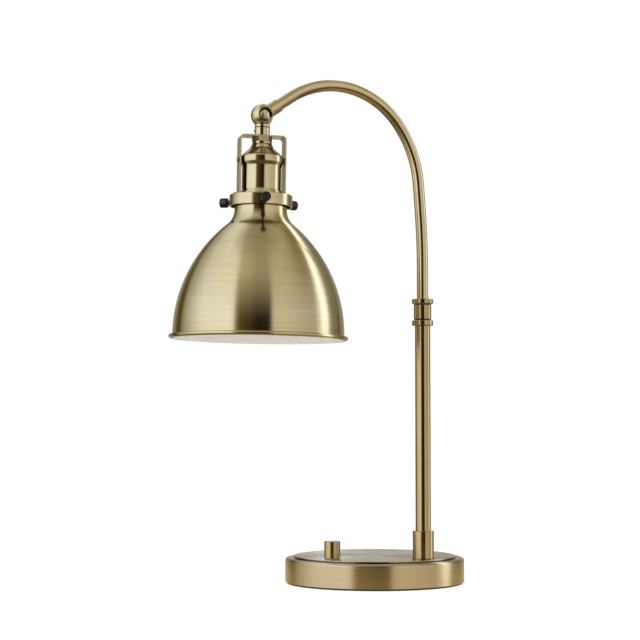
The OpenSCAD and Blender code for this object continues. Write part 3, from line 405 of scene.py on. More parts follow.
def paint_shade(tree, p, reach, z, shade_bands):
    """Paints shade into the base colour in recesses, grooves and joints, one band of radius and height at a
    time.
    """
    for r0, r1, z0, z1, keep in shade_bands:
        in_shade = math_node(tree, "MULTIPLY", window(tree, reach, r0, r1), window(tree, z, z0, z1))
        clean = p.inputs["Base Color"].links[0].from_socket
        tint = tuple(keep * c for c in SHADE_TINT)
        tree.links.new(mix_colour(tree, in_shade, clean, tint, "MULTIPLY"), p.inputs["Base Color"])


def turned_metal(name, place, light, dark, rough=0.155, aniso=0.8, contrast=0.85, bump=0.04, radial=True,
                 shade_bands=()):
    """Brushed lines run round the Z axis of place."""
    m, t, p = fresh(name)
    inv = (place @ Matrix.Scale(1 / MM, 4)).inverted()
    tc = t.nodes.new("ShaderNodeTexCoord")
    mp = t.nodes.new("ShaderNodeMapping")
    mp.inputs["Location"].default_value = inv.to_translation()
    mp.inputs["Rotation"].default_value = inv.to_euler()
    t.links.new(tc.outputs["Object"], mp.inputs["Vector"])
    sx = t.nodes.new("ShaderNodeSeparateXYZ")
    t.links.new(mp.outputs[0], sx.inputs[0])
    x, y, z = sx.outputs
    squares = math_node(t, "ADD", math_node(t, "MULTIPLY", x, x), math_node(t, "MULTIPLY", y, y))
    reach = math_node(t, "SQRT", squares)
    along = math_node(t, "ADD", z, reach)
    brushed(t, p, x, y, along, mp.outputs[0], light, dark, rough, aniso, contrast, bump)
    # Painted shade in the grooves, recesses and joints given to this metal
    paint_shade(t, p, reach, z, shade_bands)
    if radial:
        add_tangent(t, p, "RADIAL")
    return m


def tube_metal(name, light, dark, rough=0.17, aniso=0.6, contrast=0.8, bump=0.02):
    """Brushed lines run round a swept tube, by its UV map."""
    m, t, p = fresh(name)
    uv = t.nodes.new("ShaderNodeUVMap")
    uv.uv_map = UV_NAME
    sx = t.nodes.new("ShaderNodeSeparateXYZ")
    t.links.new(uv.outputs[0], sx.inputs[0])
    angle = math_node(t, "MULTIPLY", sx.outputs[0], 2 * math.pi)
    x = math_node(t, "MULTIPLY", math_node(t, "COSINE", angle), NOISE_R)
    y = math_node(t, "MULTIPLY", math_node(t, "SINE", angle), NOISE_R)
    tc = t.nodes.new("ShaderNodeTexCoord")
    brushed(t, p, x, y, sx.outputs[1], tc.outputs["Object"], light, dark, rough, aniso, contrast, bump)
    add_tangent(t, p, "UV_MAP")
    return m


def grained(name, light, dark, rough, scale, bump, metallic=0.0, sheen=0.0, coat=0.0):
    """Plastic, iron, felt and enamel."""
    m, t, p = fresh(name)
    tc = t.nodes.new("ShaderNodeTexCoord")
    grain = noise(t, tc.outputs["Object"], scale, 4.0, 0.6)
    t.links.new(ramp(t, grain, [(0.36, dark), (0.64, light)]), p.inputs["Base Color"])
    rough_most = min(1.0, rough * 1.15)
    t.links.new(map_range(t, grain, 0.3, 0.7, rough * 0.85, rough_most), p.inputs["Roughness"])
    p.inputs["Metallic"].default_value = metallic
    p.inputs["Sheen Weight"].default_value = sheen
    p.inputs["Coat Weight"].default_value = coat
    add_bump(t, p, grain, bump, GRAIN_DEPTH)
    return m


# Heights of the coupling's parts
ring_top = COUPLING_Z + RING_H
body_z = ring_top + GROOVE_H
body_top = body_z + COUPLING_H
cap_z = body_top + GROOVE_H

# Painted shade in grooves, recesses and joints, in millimetres in the frame that a metal is turned in:
# (inner radius, outer radius, lowest z, highest z, share of the colour that is kept)
# Painted shade on the step under the raised top and along the cover's bottom edge
LEDGE_SHADE = [(85.6, 87.4, 26.7, 28.3, 0.22), (93.0, 96.0, 1.2, 2.0, 0.5)]
# Painted shade in the coupling's grooves, at the collar's foot and under the coupling
GROOVE_SHADE = [
    (8.0, 9.7, ring_top - 0.1, ring_top + 1.4, 0.12), (8.0, 9.7, body_top - 0.1, body_top + 1.4, 0.12),
    (10.4, 12.0, BASE_H, BASE_H + 0.5, 0.4), (7.5, 10.2, COUPLING_Z - 0.6, COUPLING_Z + 0.15, 0.4)]
# Painted shade in the lines between the cap's parts and under its skirt
CAP_LINE_SHADE = [
    (8.0, 12.6, -30.3, -29.5, 0.12), (8.0, 14.0, -34.7, -33.9, 0.12),
    (8.0, 10.4, -27.6, -27.1, 0.3), (17.0, 20.6, -42.4, -41.1, 0.25)]
# Painted shade where the ball meets the stem and where the stem meets the yoke
STEM_SHADE = [(6.8, 8.4, -13.1, -12.1, 0.10), (6.8, 8.4, -21.2, -20.5, 0.30)]
# Painted shade in the counterbores on both sides of the ball joint
RECESS_SHADE = [(5.7, 7.35, 6.6, 9.2, 0.05), (5.7, 7.35, -9.2, -6.6, 0.05)]

# Materials: the light and the dark tone of each finish
BRASS, BRASS_DARK = (0.62, 0.51, 0.305), (0.50, 0.40, 0.215)
# The base's and the pole's tones are the same brass made darker and warmer: painted shade for the dimmer,
# warmer reflections that the base, the pole and the knob catch near the floor
SHADED_BASE_BRASS, SHADED_BASE_DARK = (0.55, 0.455, 0.30), (0.44, 0.36, 0.215)
SHADED_POLE_BRASS, SHADED_POLE_DARK = (0.48, 0.375, 0.20), (0.38, 0.285, 0.125)
BRIGHT, BRIGHT_DARK = (0.78, 0.68, 0.47), (0.62, 0.52, 0.34)
RAW, RAW_DARK = (0.62, 0.52, 0.33), (0.45, 0.36, 0.22)
BRONZE, BRONZE_DARK = (0.080, 0.068, 0.060), (0.040, 0.034, 0.030)
STEEL, STEEL_DARK = (0.60, 0.60, 0.61), (0.45, 0.45, 0.46)
shaded_brass_base = turned_metal("antique_brass_base_shaded", AT_BASE, SHADED_BASE_BRASS, SHADED_BASE_DARK, rough=0.235, shade_bands=LEDGE_SHADE)
shaded_brass_pole = turned_metal("antique_brass_pole_shaded", AT_POLE, SHADED_POLE_BRASS, SHADED_POLE_DARK, shade_bands=GROOVE_SHADE)
shaded_brass_knob = turned_metal("antique_brass_knob_shaded", AT_KNOB, SHADED_POLE_BRASS, SHADED_POLE_DARK)
brass_head = turned_metal("antique_brass_head", AT_HEAD, BRASS, BRASS_DARK)
brass_cap = turned_metal("antique_brass_cap", AT_HEAD, BRASS, BRASS_DARK, shade_bands=CAP_LINE_SHADE)
brass_stem = turned_metal("antique_brass_stem", AT_HEAD, BRASS, BRASS_DARK, shade_bands=STEM_SHADE)
brass_cast = turned_metal("antique_brass_cast", AT_PIVOT, BRASS, BRASS_DARK, rough=0.2, aniso=0.0,
                          contrast=0.8, bump=0.03, radial=False, shade_bands=RECESS_SHADE)
brass_arc = tube_metal("antique_brass_arc", BRASS, BRASS_DARK)
brass_strap = tube_metal("antique_brass_strap", BRASS, BRASS_DARK, rough=0.27, aniso=0.3,
                         contrast=0.3, bump=0.0)
bright = turned_metal("bright_brass", AT_HEAD, BRIGHT, BRIGHT_DARK, rough=0.3, aniso=0.0, radial=False)
raw = turned_metal("raw_brass", AT_HEAD, RAW, RAW_DARK, rough=0.42, aniso=0.0, radial=False)
bronze = turned_metal("dark_bronze", AT_HEAD, BRONZE, BRONZE_DARK, rough=0.38, aniso=0.0, radial=False)
steel = turned_metal("plated_steel", AT_POLE, STEEL, STEEL_DARK, rough=0.35, aniso=0.0, radial=False)
iron = grained("cast_iron", (0.12, 0.12, 0.13), (0.05, 0.05, 0.055), 0.7, 900.0, 0.5, metallic=0.8)
felt = grained("felt", (0.055, 0.055, 0.06), (0.02, 0.02, 0.022), 0.95, 2600.0, 0.9, sheen=0.4)
black = grained("black_plastic", (0.055, 0.055, 0.055), (0.035, 0.035, 0.035), 0.5, 1500.0, 0.15)
phenolic = grained("black_phenolic", (0.05, 0.044, 0.04), (0.03, 0.027, 0.025), 0.35, 700.0, 0.1)
orange = grained("connector_plastic", (0.80, 0.42, 0.10), (0.70, 0.34, 0.07), 0.35, 800.0, 0.1)
sleeve = grained("wire_sleeve", (0.72, 0.60, 0.38), (0.50, 0.40, 0.22), 0.7, 3000.0, 0.6, sheen=0.2)
enamel = grained("white_enamel", (0.93, 0.895, 0.83), (0.915, 0.88, 0.81), 0.3, 240.0, 0.03, coat=0.4)

by_slot = {
    "bright_brass": bright, "raw_brass": raw, "dark_bronze": bronze, "plated_steel": steel,
    "cast_iron": iron, "felt": felt, "black_plastic": black, "black_phenolic": phenolic,
    "connector_plastic": orange, "wire_sleeve": sleeve, "white_enamel": enamel,
}
own_brass = {
    "base_cover": shaded_brass_base, "pole_collar": shaded_brass_pole, "lower_tube": shaded_brass_pole,
    "coupling_socket": shaded_brass_pole, "coupling_cap": shaded_brass_pole, "switch_knob": shaded_brass_knob,
    "arc_tube": brass_arc, "arm_knuckle": brass_cast, "head_knuckle": brass_stem,
}
for part in frame["record"]["subparts"]:
    name, slot = part["node"], part["material_slot"]
    mat = own_brass.get(name, brass_head) if slot == "antique_brass" else by_slot[slot]
    for s in nodes[name].material_slots:
        s.material = mat

# Base. The outlines below are lists of (r, z, fillet), in millimetres
plateau_r = BASE_R - LEDGE_W
shoulder_z = BASE_H - STEP_H
lathe("base_cover_spun", rounded([
    (BASE_R - COVER_T, FELT_T, 0.3), (BASE_R, FELT_T, 0.5), (BASE_R, shoulder_z, SHOULDER_R),
    (plateau_r, shoulder_z, 0.3), (plateau_r, BASE_H, 0.5), (0.0, BASE_H, 0.0),
    (0.0, BASE_H - COVER_T, 0.0), (plateau_r - COVER_T, BASE_H - COVER_T, 0.2),
    (plateau_r - COVER_T, shoulder_z - COVER_T, 0.4),
    (BASE_R - COVER_T, shoulder_z - COVER_T, SHOULDER_R - COVER_T)]),
    AT_BASE, "base", ["base_cover"], shaded_brass_base, around=256)

# Felt pad: a slightly ragged edge, and holes for the bottom screws
FUZZ, FELT_AROUND, FELT_EDGE = 0.25, 512, range(3, 12)
fuzz = [random.uniform(-FUZZ, 0.0) for _ in range(FELT_AROUND)]


def ragged(t, i):
    """How far in a point of the pad's edge stands; the flat faces stay as they are."""
    if i not in FELT_EDGE:
        return 0.0
    return -fuzz[int(t / (2 * math.pi) * FELT_AROUND + 0.5) % FELT_AROUND]


pad = lathe("felt_pad_cut", rounded([
    (0.0, 0.0, 0.0), (FELT_R, 0.0, 0.35), (FELT_R, FELT_T, 0.35), (0.0, FELT_T, 0.0)]),
    AT_BASE, "base", ["felt_pad"], felt, around=FELT_AROUND, wave=ragged)
drill_mesh = bpy.data.meshes.new("drill")
drill_bm = bmesh.new()
for angle in SCREW_ANGLES:
    bmesh.ops.create_cone(drill_bm, cap_ends=True, segments=48, radius1=SCREW_HOLE_R * MM,
                          radius2=SCREW_HOLE_R * MM, depth=10.0 * MM,
                          matrix=Matrix.Translation(polar(SCREW_AT * MM, angle)))
drill_bm.to_mesh(drill_mesh)
drill_bm.free()
drill = bpy.data.objects.new("drill", drill_mesh)
scene.collection.objects.link(drill)
cut = pad.modifiers.new("holes", "BOOLEAN")
cut.object = drill
cut.solver = "EXACT"
bpy.context.view_layer.objects.active = pad
bpy.ops.object.modifier_apply(modifier=cut.name)
bpy.data.objects.remove(drill)

# Knob: turned, with soft edges and a recess underneath
knob_top, recess_top = KNOB_Z + KNOB_H, KNOB_Z + KNOB_RECESS_H
lathe("switch_knob_turned", rounded([
    (KNOB_RECESS_R, KNOB_Z, 0.2), (KNOB_R, KNOB_Z, 0.5), (KNOB_R, knob_top, 0.9),
    (0.0, knob_top, 0.0), (0.0, recess_top, 0.0), (KNOB_RECESS_R, recess_top, 0.2)]),
    AT_KNOB, "knob", ["switch_knob"], shaded_brass_knob, around=96)

# Pole and coupling
seat_r, arc_seat_r, spindle_hole_r = TUBE_R + SEAT_FIT, ARC_R + SEAT_FIT, SPINDLE_R + SEAT_FIT
groove_r = COUPLING_R - GROOVE_DEPTH
seat_top, collar_top, upper_top = COUPLING_Z + TUBE_SEAT, BASE_H + COLLAR_H, cap_z + CAP_H
lathe("pole_collar_turned", rounded([
    (seat_r, BASE_H, 0.1), (COLLAR_R, BASE_H, 0.35), (COLLAR_R, collar_top, 0.6),
    (seat_r, collar_top, 0.2)]),
    AT_POLE, "base", ["pole_collar"], shaded_brass_pole, around=96)
lathe("coupling_socket_turned", rounded([
    (seat_r, COUPLING_Z, 0.15), (RING_R, COUPLING_Z, 0.6), (RING_R, ring_top, 0.6),
    (groove_r, ring_top, 0.1), (groove_r, body_z, 0.1), (COUPLING_R, body_z, 0.35),
    (COUPLING_R, body_top, 0.35), (TUBE_BORE_R, body_top, 0.1),
    (TUBE_BORE_R, seat_top, 0.0), (seat_r, seat_top, 0.0)]),
    AT_POLE, "base", ["coupling_socket"], shaded_brass_pole, around=96)
lathe("coupling_cap_turned", rounded([
    (spindle_hole_r, cap_z, 0.1), (RING_R, cap_z, 0.6), (RING_R, upper_top, 0.6),
    (arc_seat_r, upper_top, 0.25), (arc_seat_r, ARC_Z, 0.0), (spindle_hole_r, ARC_Z, 0.0)]),
    AT_POLE, "arm", ["coupling_cap"], shaded_brass_pole, around=96)

# Arc tube: its rise in a few steps, then the samples of its line
RISE_STEPS, TUBE_SIDES = 6, 64
rise_line = [[0.0, ARC_Z + RISE * i / RISE_STEPS, 90.0] for i in range(RISE_STEPS)]
stations, lengths, run, last = [], [], 0.0, None
for x, z, heading in rise_line + ARC[1:]:
    h = math.radians(heading)
    c = Vector((pole.x - x, pole.y, z))
    run += (c - last).length if last else 0.0
    last = c
    stations.append((c, Vector((math.sin(h), 0.0, math.cos(h))), Vector((0.0, -1.0, 0.0))))
    lengths.append(run)
circle = [(Vector((ARC_R * math.cos(t), ARC_R * math.sin(t))), Vector((math.cos(t), math.sin(t))))
          for t in [2 * math.pi * k / TUBE_SIDES for k in range(TUBE_SIDES)]]
sweep("arc_tube_bent", circle, stations, AT_BASE, "arm", ["arc_tube"], brass_arc, lengths)

# Yoke: one bent strap with eased edges, feet on the shade ring. Its middle line is a list of (x, z, bend)
FOOT_BEND, BEND_STEPS, STRAP_EDGE = 1.2, 8, 0.3
half_w, mid_t = YOKE_W / 2, STRAP_T / 2
leg_x, foot_x = half_w - mid_t, half_w + YOKE_FOOT
top_z, foot_z, top_bend = -(YOKE_TOP + mid_t), -(FITTER_TOP - mid_t), YOKE_CORNER - mid_t
bends = [(foot_x, foot_z, 0.0), (leg_x, foot_z, FOOT_BEND), (leg_x, top_z, top_bend),
         (-leg_x, top_z, top_bend), (-leg_x, foot_z, FOOT_BEND), (-foot_x, foot_z, 0.0)]
spots = [Vector((x, z)) for x, z, _ in bends]
strap_path = [(spots[0], (spots[1] - spots[0]).normalized())]
for i in range(1, len(bends) - 1):
    a = (spots[i] - spots[i - 1]).normalized()
    b = (spots[i + 1] - spots[i]).normalized()
    turn = math.atan2(a.x * b.y - a.y * b.x, a.dot(b))
    side = 1 if turn > 0 else -1
    radius = bends[i][2]
    left = Vector((-a.y, a.x)) * side
    centre = spots[i] - a * radius * math.tan(abs(turn) / 2) + left * radius
    for k in range(BEND_STEPS + 1):
        d = turned_by(a, turn * k / BEND_STEPS)
        strap_path.append((centre - Vector((-d.y, d.x)) * side * radius, d))
strap_path.append((spots[-1], (spots[-1] - spots[-2]).normalized()))
strap_section = rounded([
    (-mid_t, -STRAP_W / 2, STRAP_EDGE), (mid_t, -STRAP_W / 2, STRAP_EDGE),
    (mid_t, STRAP_W / 2, STRAP_EDGE), (-mid_t, STRAP_W / 2, STRAP_EDGE)])
strap_stations, strap_lengths, run = [], [], 0.0
for i, (p, d) in enumerate(strap_path):
    run += (p - strap_path[i - 1][0]).length if i else 0.0
    strap_stations.append((Vector((p.x, 0.0, p.y)), Vector((-d.y, 0.0, d.x)), Vector((0.0, 1.0, 0.0))))
    strap_lengths.append(run)
sweep("yoke_bent", strap_section, strap_stations, AT_YOKE, "head", ["yoke"],
      brass_strap, strap_lengths)

# Lampholder cap: ring, flared collar and cone, with a line between each two, and a skirt inside the shell
ring_foot = CAP_TOP + CAP_RING_H
flare_top = ring_foot + CAP_LINE
flare_foot = flare_top + CAP_FLARE_H
cone_top = flare_foot + CAP_LINE
bell_bore = BELL_R - 1.5 * SHELL_T
skirt_r = bell_bore - SEAT_FIT
skirt_bore, skirt_foot = skirt_r - SHELL_T, SHELL_TOP + CAP_SKIRT_H
flare_r0, flare_r1 = CAP_RING_R + 0.2, CAP_RING_R + 2.3
CONE_T, INSIDE_H = 1.0, 4.0
line_r, line_out_r = CAP_RING_R - 0.5, flare_r1 - 0.5
lathe("socket_cap_turned", rounded([
    (NUT_BORE_R, -CAP_TOP, 0.1),
    (NUT_BORE_R, -SHELL_TOP + INSIDE_H, 0.0), (CAP_RING_R, -cone_top - CONE_T, 0.3),
    (skirt_bore, -SHELL_TOP - 0.5, 0.3), (skirt_bore, -skirt_foot, 0.1),
    (skirt_r, -skirt_foot, 0.1), (skirt_r, -SHELL_TOP, 0.2), (flare_r1 + 0.2, -cone_top, 0.5),
    (line_out_r, -cone_top, 0.05), (line_out_r, -flare_foot, 0.05),
    (flare_r1, -flare_foot, 0.3), (flare_r0, -flare_top, 0.2),
    (line_r, -flare_top, 0.05), (line_r, -ring_foot, 0.05),
    (CAP_RING_R, -ring_foot, 0.3), (CAP_RING_R, -CAP_TOP, 0.5)]),
    AT_HEAD, "head", ["socket_cap"], brass_cap, around=96)

# Lampholder shell: bell, body and foot. The bell's rim is rounded over the cap's skirt
COVE_ROUND = 4.0
waist = SHELL_TOP + BELL_H
bore = SHELL_R - SHELL_T
bore_top = SHELL_TOP + CAP_SKIRT_H + 0.5
foot_top = FITTER_TOP - FOOT_H
rim_turn = math.acos((bell_bore - BELL_R + BELL_ROUND) / BELL_ROUND)
rim_z = -SHELL_TOP - BELL_ROUND * (1 - math.sin(rim_turn))
shell_outline = rounded([
    (bell_bore, -bore_top, 0.1), (bore, -bore_top, 0.1), (bore, -FITTER_TOP, 0.1),
    (BELL_R, -FITTER_TOP, 0.3), (BELL_R, -foot_top - COVE_H, 2.0), (SHELL_R, -foot_top, COVE_ROUND),
    (SHELL_R, -waist, COVE_ROUND), (BELL_R, -waist + COVE_H, COVE_ROUND),
    (BELL_R, -SHELL_TOP - BELL_ROUND, 0.0), (bell_bore, rim_z, 0.0)])
shell_outline[-3:-1] = arc_points(BELL_R - BELL_ROUND, -SHELL_TOP - BELL_ROUND, BELL_ROUND,
                                  0.0, rim_turn, 6, 1)
lathe("socket_shell_turned", shell_outline,
      AT_HEAD, "head", ["socket_shell"], brass_head, around=128)

# Shade ring
plate_foot, ring_bore = FITTER_TOP + FITTER_T, FITTER_R - FITTER_T
lathe("fitter_ring_turned", rounded([
    (FITTER_HOLE_R, -FITTER_TOP, 0.1), (FITTER_HOLE_R, -plate_foot, 0.1),
    (ring_bore, -plate_foot, 0.4), (ring_bore, -FITTER_TOP - FITTER_H, 0.3),
    (FITTER_R, -FITTER_TOP - FITTER_H, 0.4), (FITTER_R, -FITTER_TOP, 1.2)]),
    AT_HEAD, "head", ["fitter_ring"], brass_head, around=160)

# Shade: spun sheet with a rolled bead, brass outside and enamel inside
SIDE_STEPS, FLARE_STEPS, BEAD_STEPS, LIP_STEPS = 40, 14, 18, 8
BEAD_FROM, BEAD_TO, BEAD_TOUCH = -0.62 * math.pi, 0.78 * math.pi, 0.75
dome_x, dome_z = MOUTH_R - DOME_R, -(MOUTH - BAND_H)
flare_x = NECK_R + FLARE_R
flare_z = dome_z + math.sqrt((DOME_R + FLARE_R) ** 2 - (flare_x - dome_x) ** 2)
join = math.atan2(flare_z - dome_z, flare_x - dome_x)


def shade_side(inset, out):
    """The side from the mouth up to the neck, drawn in by inset; out is 1 or -1 for its normals."""
    pts = [(Vector((MOUTH_R - inset, -MOUTH)), Vector((out, 0.0)))]
    pts += arc_points(dome_x, dome_z, DOME_R - inset, 0.0, join, SIDE_STEPS, out)
    pts += arc_points(flare_x, flare_z, FLARE_R + inset, join - math.pi, -math.pi, FLARE_STEPS, -out)
    return pts


brass_t, lip_r = SHEET_T - LINING_T, SHEET_T / 2
bead_x, bead_z = MOUTH_R + BEAD_R - BEAD_BITE, -(MOUTH - BEAD_R)
bead = arc_points(bead_x, bead_z, BEAD_R, BEAD_FROM, BEAD_TO, BEAD_STEPS, 1)
above_bead = [q for q in shade_side(0.0, 1) if q[0].y > bead_z + BEAD_R * BEAD_TOUCH]
neck_foot = Vector((NECK_R, -NECK_TOP - SHEET_T))
neck_top = Vector((NECK_R - brass_t, -NECK_TOP))
lip = [(neck_foot, Vector((1.0, 0.0))), (neck_foot, Vector((0.0, -1.0)))]
lip += arc_points(NECK_R + LIP - lip_r, -NECK_TOP - lip_r, lip_r, -math.pi / 2, math.pi / 2, LIP_STEPS, 1)
lip += [(neck_top, Vector((0.0, 1.0))), (neck_top, Vector((-1.0, 0.0)))]
inside = shade_side(brass_t, -1)[::-1]
mouth = [(Vector((MOUTH_R - brass_t, -MOUTH)), Vector((0.0, -1.0)))]
lathe("shade_spun", mouth + bead + above_bead + lip + inside,
      AT_HEAD, "head", ["shade"], brass_head, around=256)
lathe("shade_lining", shade_side(brass_t, 1) + shade_side(SHEET_T, -1)[::-1],
      AT_HEAD, "head", [], enamel, around=256)

# Thumbscrews: dark knurled heads with plain eased ends and a shallow dimple
KNURLS, POINTS_PER_KNURL, KNURL_DEPTH, EASE, KNURL_MARGIN, TOLERANCE = 22, 8, 0.45, 0.9, 0.6, 0.05
DIMPLE_R, DIMPLE_FLOOR_R, DIMPLE_DEPTH, THUMB_COUNT, FIRST_THUMB = 2.6, 2.2, 0.35, 3, -90
head_in = THUMB_OUT - THUMB_LEN
thumb_outline = rounded([
    (0.0, THUMB_TIP, 0.0), (SHANK_R, THUMB_TIP, 0.3), (SHANK_R, head_in, 0.2), (THUMB_R, head_in, 0.5),
    (THUMB_R, head_in + EASE, 0.1), (THUMB_R, THUMB_OUT - EASE, 0.1), (THUMB_R, THUMB_OUT, 0.7),
    (DIMPLE_R, THUMB_OUT, 0.3), (DIMPLE_FLOOR_R, THUMB_OUT - DIMPLE_DEPTH, 0.3),
    (0.0, THUMB_OUT - DIMPLE_DEPTH, 0.0)])


def knurl(t, i):
    p = thumb_outline[i][0]
    if p.x < THUMB_R - TOLERANCE or not head_in + KNURL_MARGIN < p.y < THUMB_OUT - KNURL_MARGIN:
        return 0.0
    return KNURL_DEPTH * abs(2 * ((t * KNURLS / (2 * math.pi)) % 1.0) - 1)


for i in range(THUMB_COUNT):
    around_ring = Matrix.Rotation(math.radians(i * 360 / THUMB_COUNT + FIRST_THUMB), 4, "Z")
    place = (AT_TURNED @ Matrix.Translation((0, 0, -THUMB_DEPTH))
             @ around_ring @ Matrix.Rotation(math.radians(90), 4, "Y"))
    n = "thumb_screw_%d" % (i + 1)
    lathe(n + "_knurled", thumb_outline, place, n, [n], bronze,
          around=POINTS_PER_KNURL * KNURLS, wave=knurl)


# World: white to the camera, soft boxes and dark gaps in reflections
world = bpy.data.worlds.new("studio")
scene.world = world
world.use_nodes = True
sky_tree = world.node_tree
sky_tree.nodes.clear()
sky_out = sky_tree.nodes.new("ShaderNodeOutputWorld")
sky_at = sky_tree.nodes.new("ShaderNodeTexCoord")
sky_ray = sky_tree.nodes.new("ShaderNodeLightPath")
view_turn = math.radians(VIEW_ANGLE)


def facing(direction):
    n = sky_tree.nodes.new("ShaderNodeVectorMath")
    n.operation = "DOT_PRODUCT"
    n.inputs[1].default_value = direction
    sky_tree.links.new(sky_at.outputs["Generated"], n.inputs[0])
    return n.outputs["Value"]


def background(colour):
    n = sky_tree.nodes.new("ShaderNodeBackground")
    if isinstance(colour, tuple):
        n.inputs["Color"].default_value = (*colour, 1.0)
    else:
        sky_tree.links.new(colour, n.inputs["Color"])
    return n.outputs[0]


rightward = facing((math.cos(view_turn), math.sin(view_turn), 0.0))
camward = facing((math.sin(view_turn), -math.cos(view_turn), 0.0))
upward = facing((0.0, 0.0, 1.0))
half_turn = math_node(sky_tree, "ARCTAN2", rightward, math_node(sky_tree, "ADD", camward, 1.0))
round_studio = math_node(sky_tree, "ADD", math_node(sky_tree, "DIVIDE", half_turn, math.pi), 0.5)


def stripes(stops):
    """A ramp round the studio: (degrees, level, colour) from -180, behind, through 0, the camera."""
    return ramp(sky_tree, round_studio, [
        (deg / 360.0 + 0.5, tuple(level * c for c in colour)) for deg, level, colour in stops])


def between(lo, hi):
    """0 where upward is lo and 1 where it is hi."""
    return map_range(sky_tree, upward, lo, hi, 0.0, 1.0)


WARM, GREY, COOL = (1.0, 0.76, 0.22), (1.0, 1.03, 1.05), (1.0, 1.14, 1.34)
OCHRE, PALE = (1.0, 0.97, 0.78), (1.0, 1.08, 1.14)
OVERHEAD, BELOW, HORIZON_TINT = (0.42, 0.41, 0.33), (0.13, 0.10, 0.07), (1.0, 0.87, 0.73)
WHITE, LIT = (1.0, 1.0, 1.0), (0.90, 0.90, 0.90)
level_sky = stripes([
    (-180, 0.48, GREY), (-150, 0.36, OCHRE), (-134, 0.10, WARM), (-127, 0.14, WARM), (-118, 0.50, OCHRE),
    (-98, 0.90, COOL), (-82, 1.28, COOL), (-38, 1.40, COOL), (-32, 1.28, COOL), (-28, 0.40, OCHRE),
    (-23, 0.12, WARM), (-10, 0.07, WARM), (0, 0.01, WARM), (17, 0.01, WARM), (22, 0.88, GREY),
    (34, 0.96, GREY), (64, 0.78, GREY), (84, 0.70, GREY), (93, 1.3, COOL), (98, 2.0, COOL),
    (107, 1.75, COOL), (113, 0.60, GREY), (121, 0.34, OCHRE), (137, 0.22, OCHRE), (152, 0.36, OCHRE),
    (180, 0.48, GREY)])
mid_sky = stripes([
    (-180, 0.32, GREY), (-150, 0.30, OCHRE), (-128, 0.34, OCHRE), (-105, 0.50, OCHRE), (-87, 0.85, PALE),
    (-60, 1.12, PALE), (-40, 1.16, PALE), (-35, 1.12, PALE), (-27, 0.78, OCHRE), (-18, 0.74, OCHRE),
    (0, 0.54, OCHRE), (12, 0.54, OCHRE), (24, 0.74, OCHRE), (40, 0.74, OCHRE), (57, 0.54, OCHRE),
    (74, 0.34, WARM), (88, 0.34, WARM), (94, 1.9, PALE), (100, 2.4, PALE), (107, 0.60, OCHRE),
    (120, 0.34, WARM), (145, 0.30, OCHRE), (180, 0.32, GREY)])
rising = mix_colour(sky_tree, between(0.28, 0.82), level_sky, mid_sky)
above = mix_colour(sky_tree, between(0.86, 1.0), rising, OVERHEAD)
warmed = mix_colour(sky_tree, between(0.14, 0.02), above, HORIZON_TINT, "MULTIPLY")
reflected = mix_colour(sky_tree, between(-0.20, -0.60), warmed, BELOW)
mirror_ray = math_node(sky_tree, "MAXIMUM", sky_ray.outputs["Is Glossy Ray"],
                       sky_ray.outputs["Is Transmission Ray"])
lit = mix_shader(sky_tree, mirror_ray, background(LIT), background(reflected))
seen = mix_shader(sky_tree, sky_ray.outputs["Is Camera Ray"], lit, background(WHITE))
sky_tree.links.new(seen, sky_out.inputs[0])

# Lights, soft and plain: (name, place, size, power)
LIGHTS = [("key_left", (-2.2, -1.6, 1.7), (1.6, 1.6), 12.0),
          ("fill_right", (1.5, -2.0, 1.2), (1.4, 1.4), 7.0),
          ("top", (0.1, 0.1, 2.4), (2.0, 2.0), 10.0)]
AIM = Vector((0.0, 0.0, 0.25))
for name, loc, size, power in LIGHTS:
    light = bpy.data.lights.new(name, "AREA")
    light.shape = "RECTANGLE"
    light.size, light.size_y = size
    light.energy = power
    lamp = bpy.data.objects.new(name, light)
    lamp.location = loc
    lamp.rotation_euler = (AIM - Vector(loc)).to_track_quat("-Z", "Y").to_euler()
    scene.collection.objects.link(lamp)
    lamp.visible_glossy = False

# Floor: white to the camera with the lamp's soft shadow, and a faint warm painted glow near the lamp that
# only reflections see
FLOOR_R, FLOOR_SIDES, FLOOR_SINK = 0.7, 120, 0.0002
FLOOR_WHITE, FLOOR_SHADE = (0.88, 0.88, 0.87, 1.0), (0.26, 0.26, 0.26, 1.0)
FLOOR_GLOW = (0.80, 0.80, 0.80, 1.0)
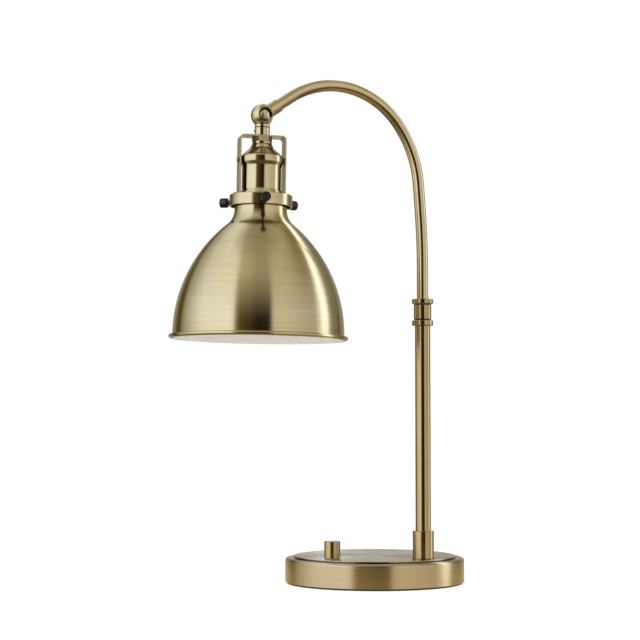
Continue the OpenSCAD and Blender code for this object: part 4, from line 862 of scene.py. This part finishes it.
# The warm glow near the lamp is painted light: an emission that only reflections see, fading with distance
REFLECTED_GLOW_FADE, REFLECTED_GLOW_SHARE, REFLECTED_GLOW = (0.45, 0.20), 0.45, (1.0, 0.79, 0.43, 1.0)
floor_mesh = bpy.data.meshes.new("floor")
rim = [tuple(polar(FLOOR_R, k * 360 / FLOOR_SIDES)) for k in range(FLOOR_SIDES)]
floor_mesh.from_pydata(rim, [], [tuple(range(FLOOR_SIDES))])
floor = bpy.data.objects.new("floor", floor_mesh)
floor.location.z = -FLOOR_SINK
scene.collection.objects.link(floor)
floor_material = bpy.data.materials.new("floor")
floor_material.use_nodes = True
tree = floor_material.node_tree
tree.nodes.clear()


def plain(kind, colour):
    n = tree.nodes.new(kind)
    n.inputs["Color"].default_value = colour
    return n.outputs[0]


floor_out = tree.nodes.new("ShaderNodeOutputMaterial")
floor_ray = tree.nodes.new("ShaderNodeLightPath")
floor_at = tree.nodes.new("ShaderNodeTexCoord")
reach = tree.nodes.new("ShaderNodeVectorMath")
reach.operation = "LENGTH"
tree.links.new(floor_at.outputs["Object"], reach.inputs[0])
shown = tree.nodes.new("ShaderNodeAddShader")
tree.links.new(plain("ShaderNodeBsdfDiffuse", FLOOR_SHADE), shown.inputs[0])
tree.links.new(plain("ShaderNodeEmission", FLOOR_GLOW), shown.inputs[1])
# Share of the painted warm glow in reflections, fading away from the lamp
reflected_glow_share = map_range(tree, reach.outputs["Value"], *REFLECTED_GLOW_FADE, 0.0, REFLECTED_GLOW_SHARE)
clear = tree.nodes.new("ShaderNodeBsdfTransparent")
mirrored = mix_shader(tree, reflected_glow_share, clear.outputs[0], plain("ShaderNodeEmission", REFLECTED_GLOW))
unseen = mix_shader(tree, floor_ray.outputs["Is Glossy Ray"],
                    plain("ShaderNodeBsdfDiffuse", FLOOR_WHITE), mirrored)
tree.links.new(mix_shader(tree, floor_ray.outputs["Is Camera Ray"], unseen, shown.outputs[0]),
               floor_out.inputs[0])
floor_mesh.materials.append(floor_material)
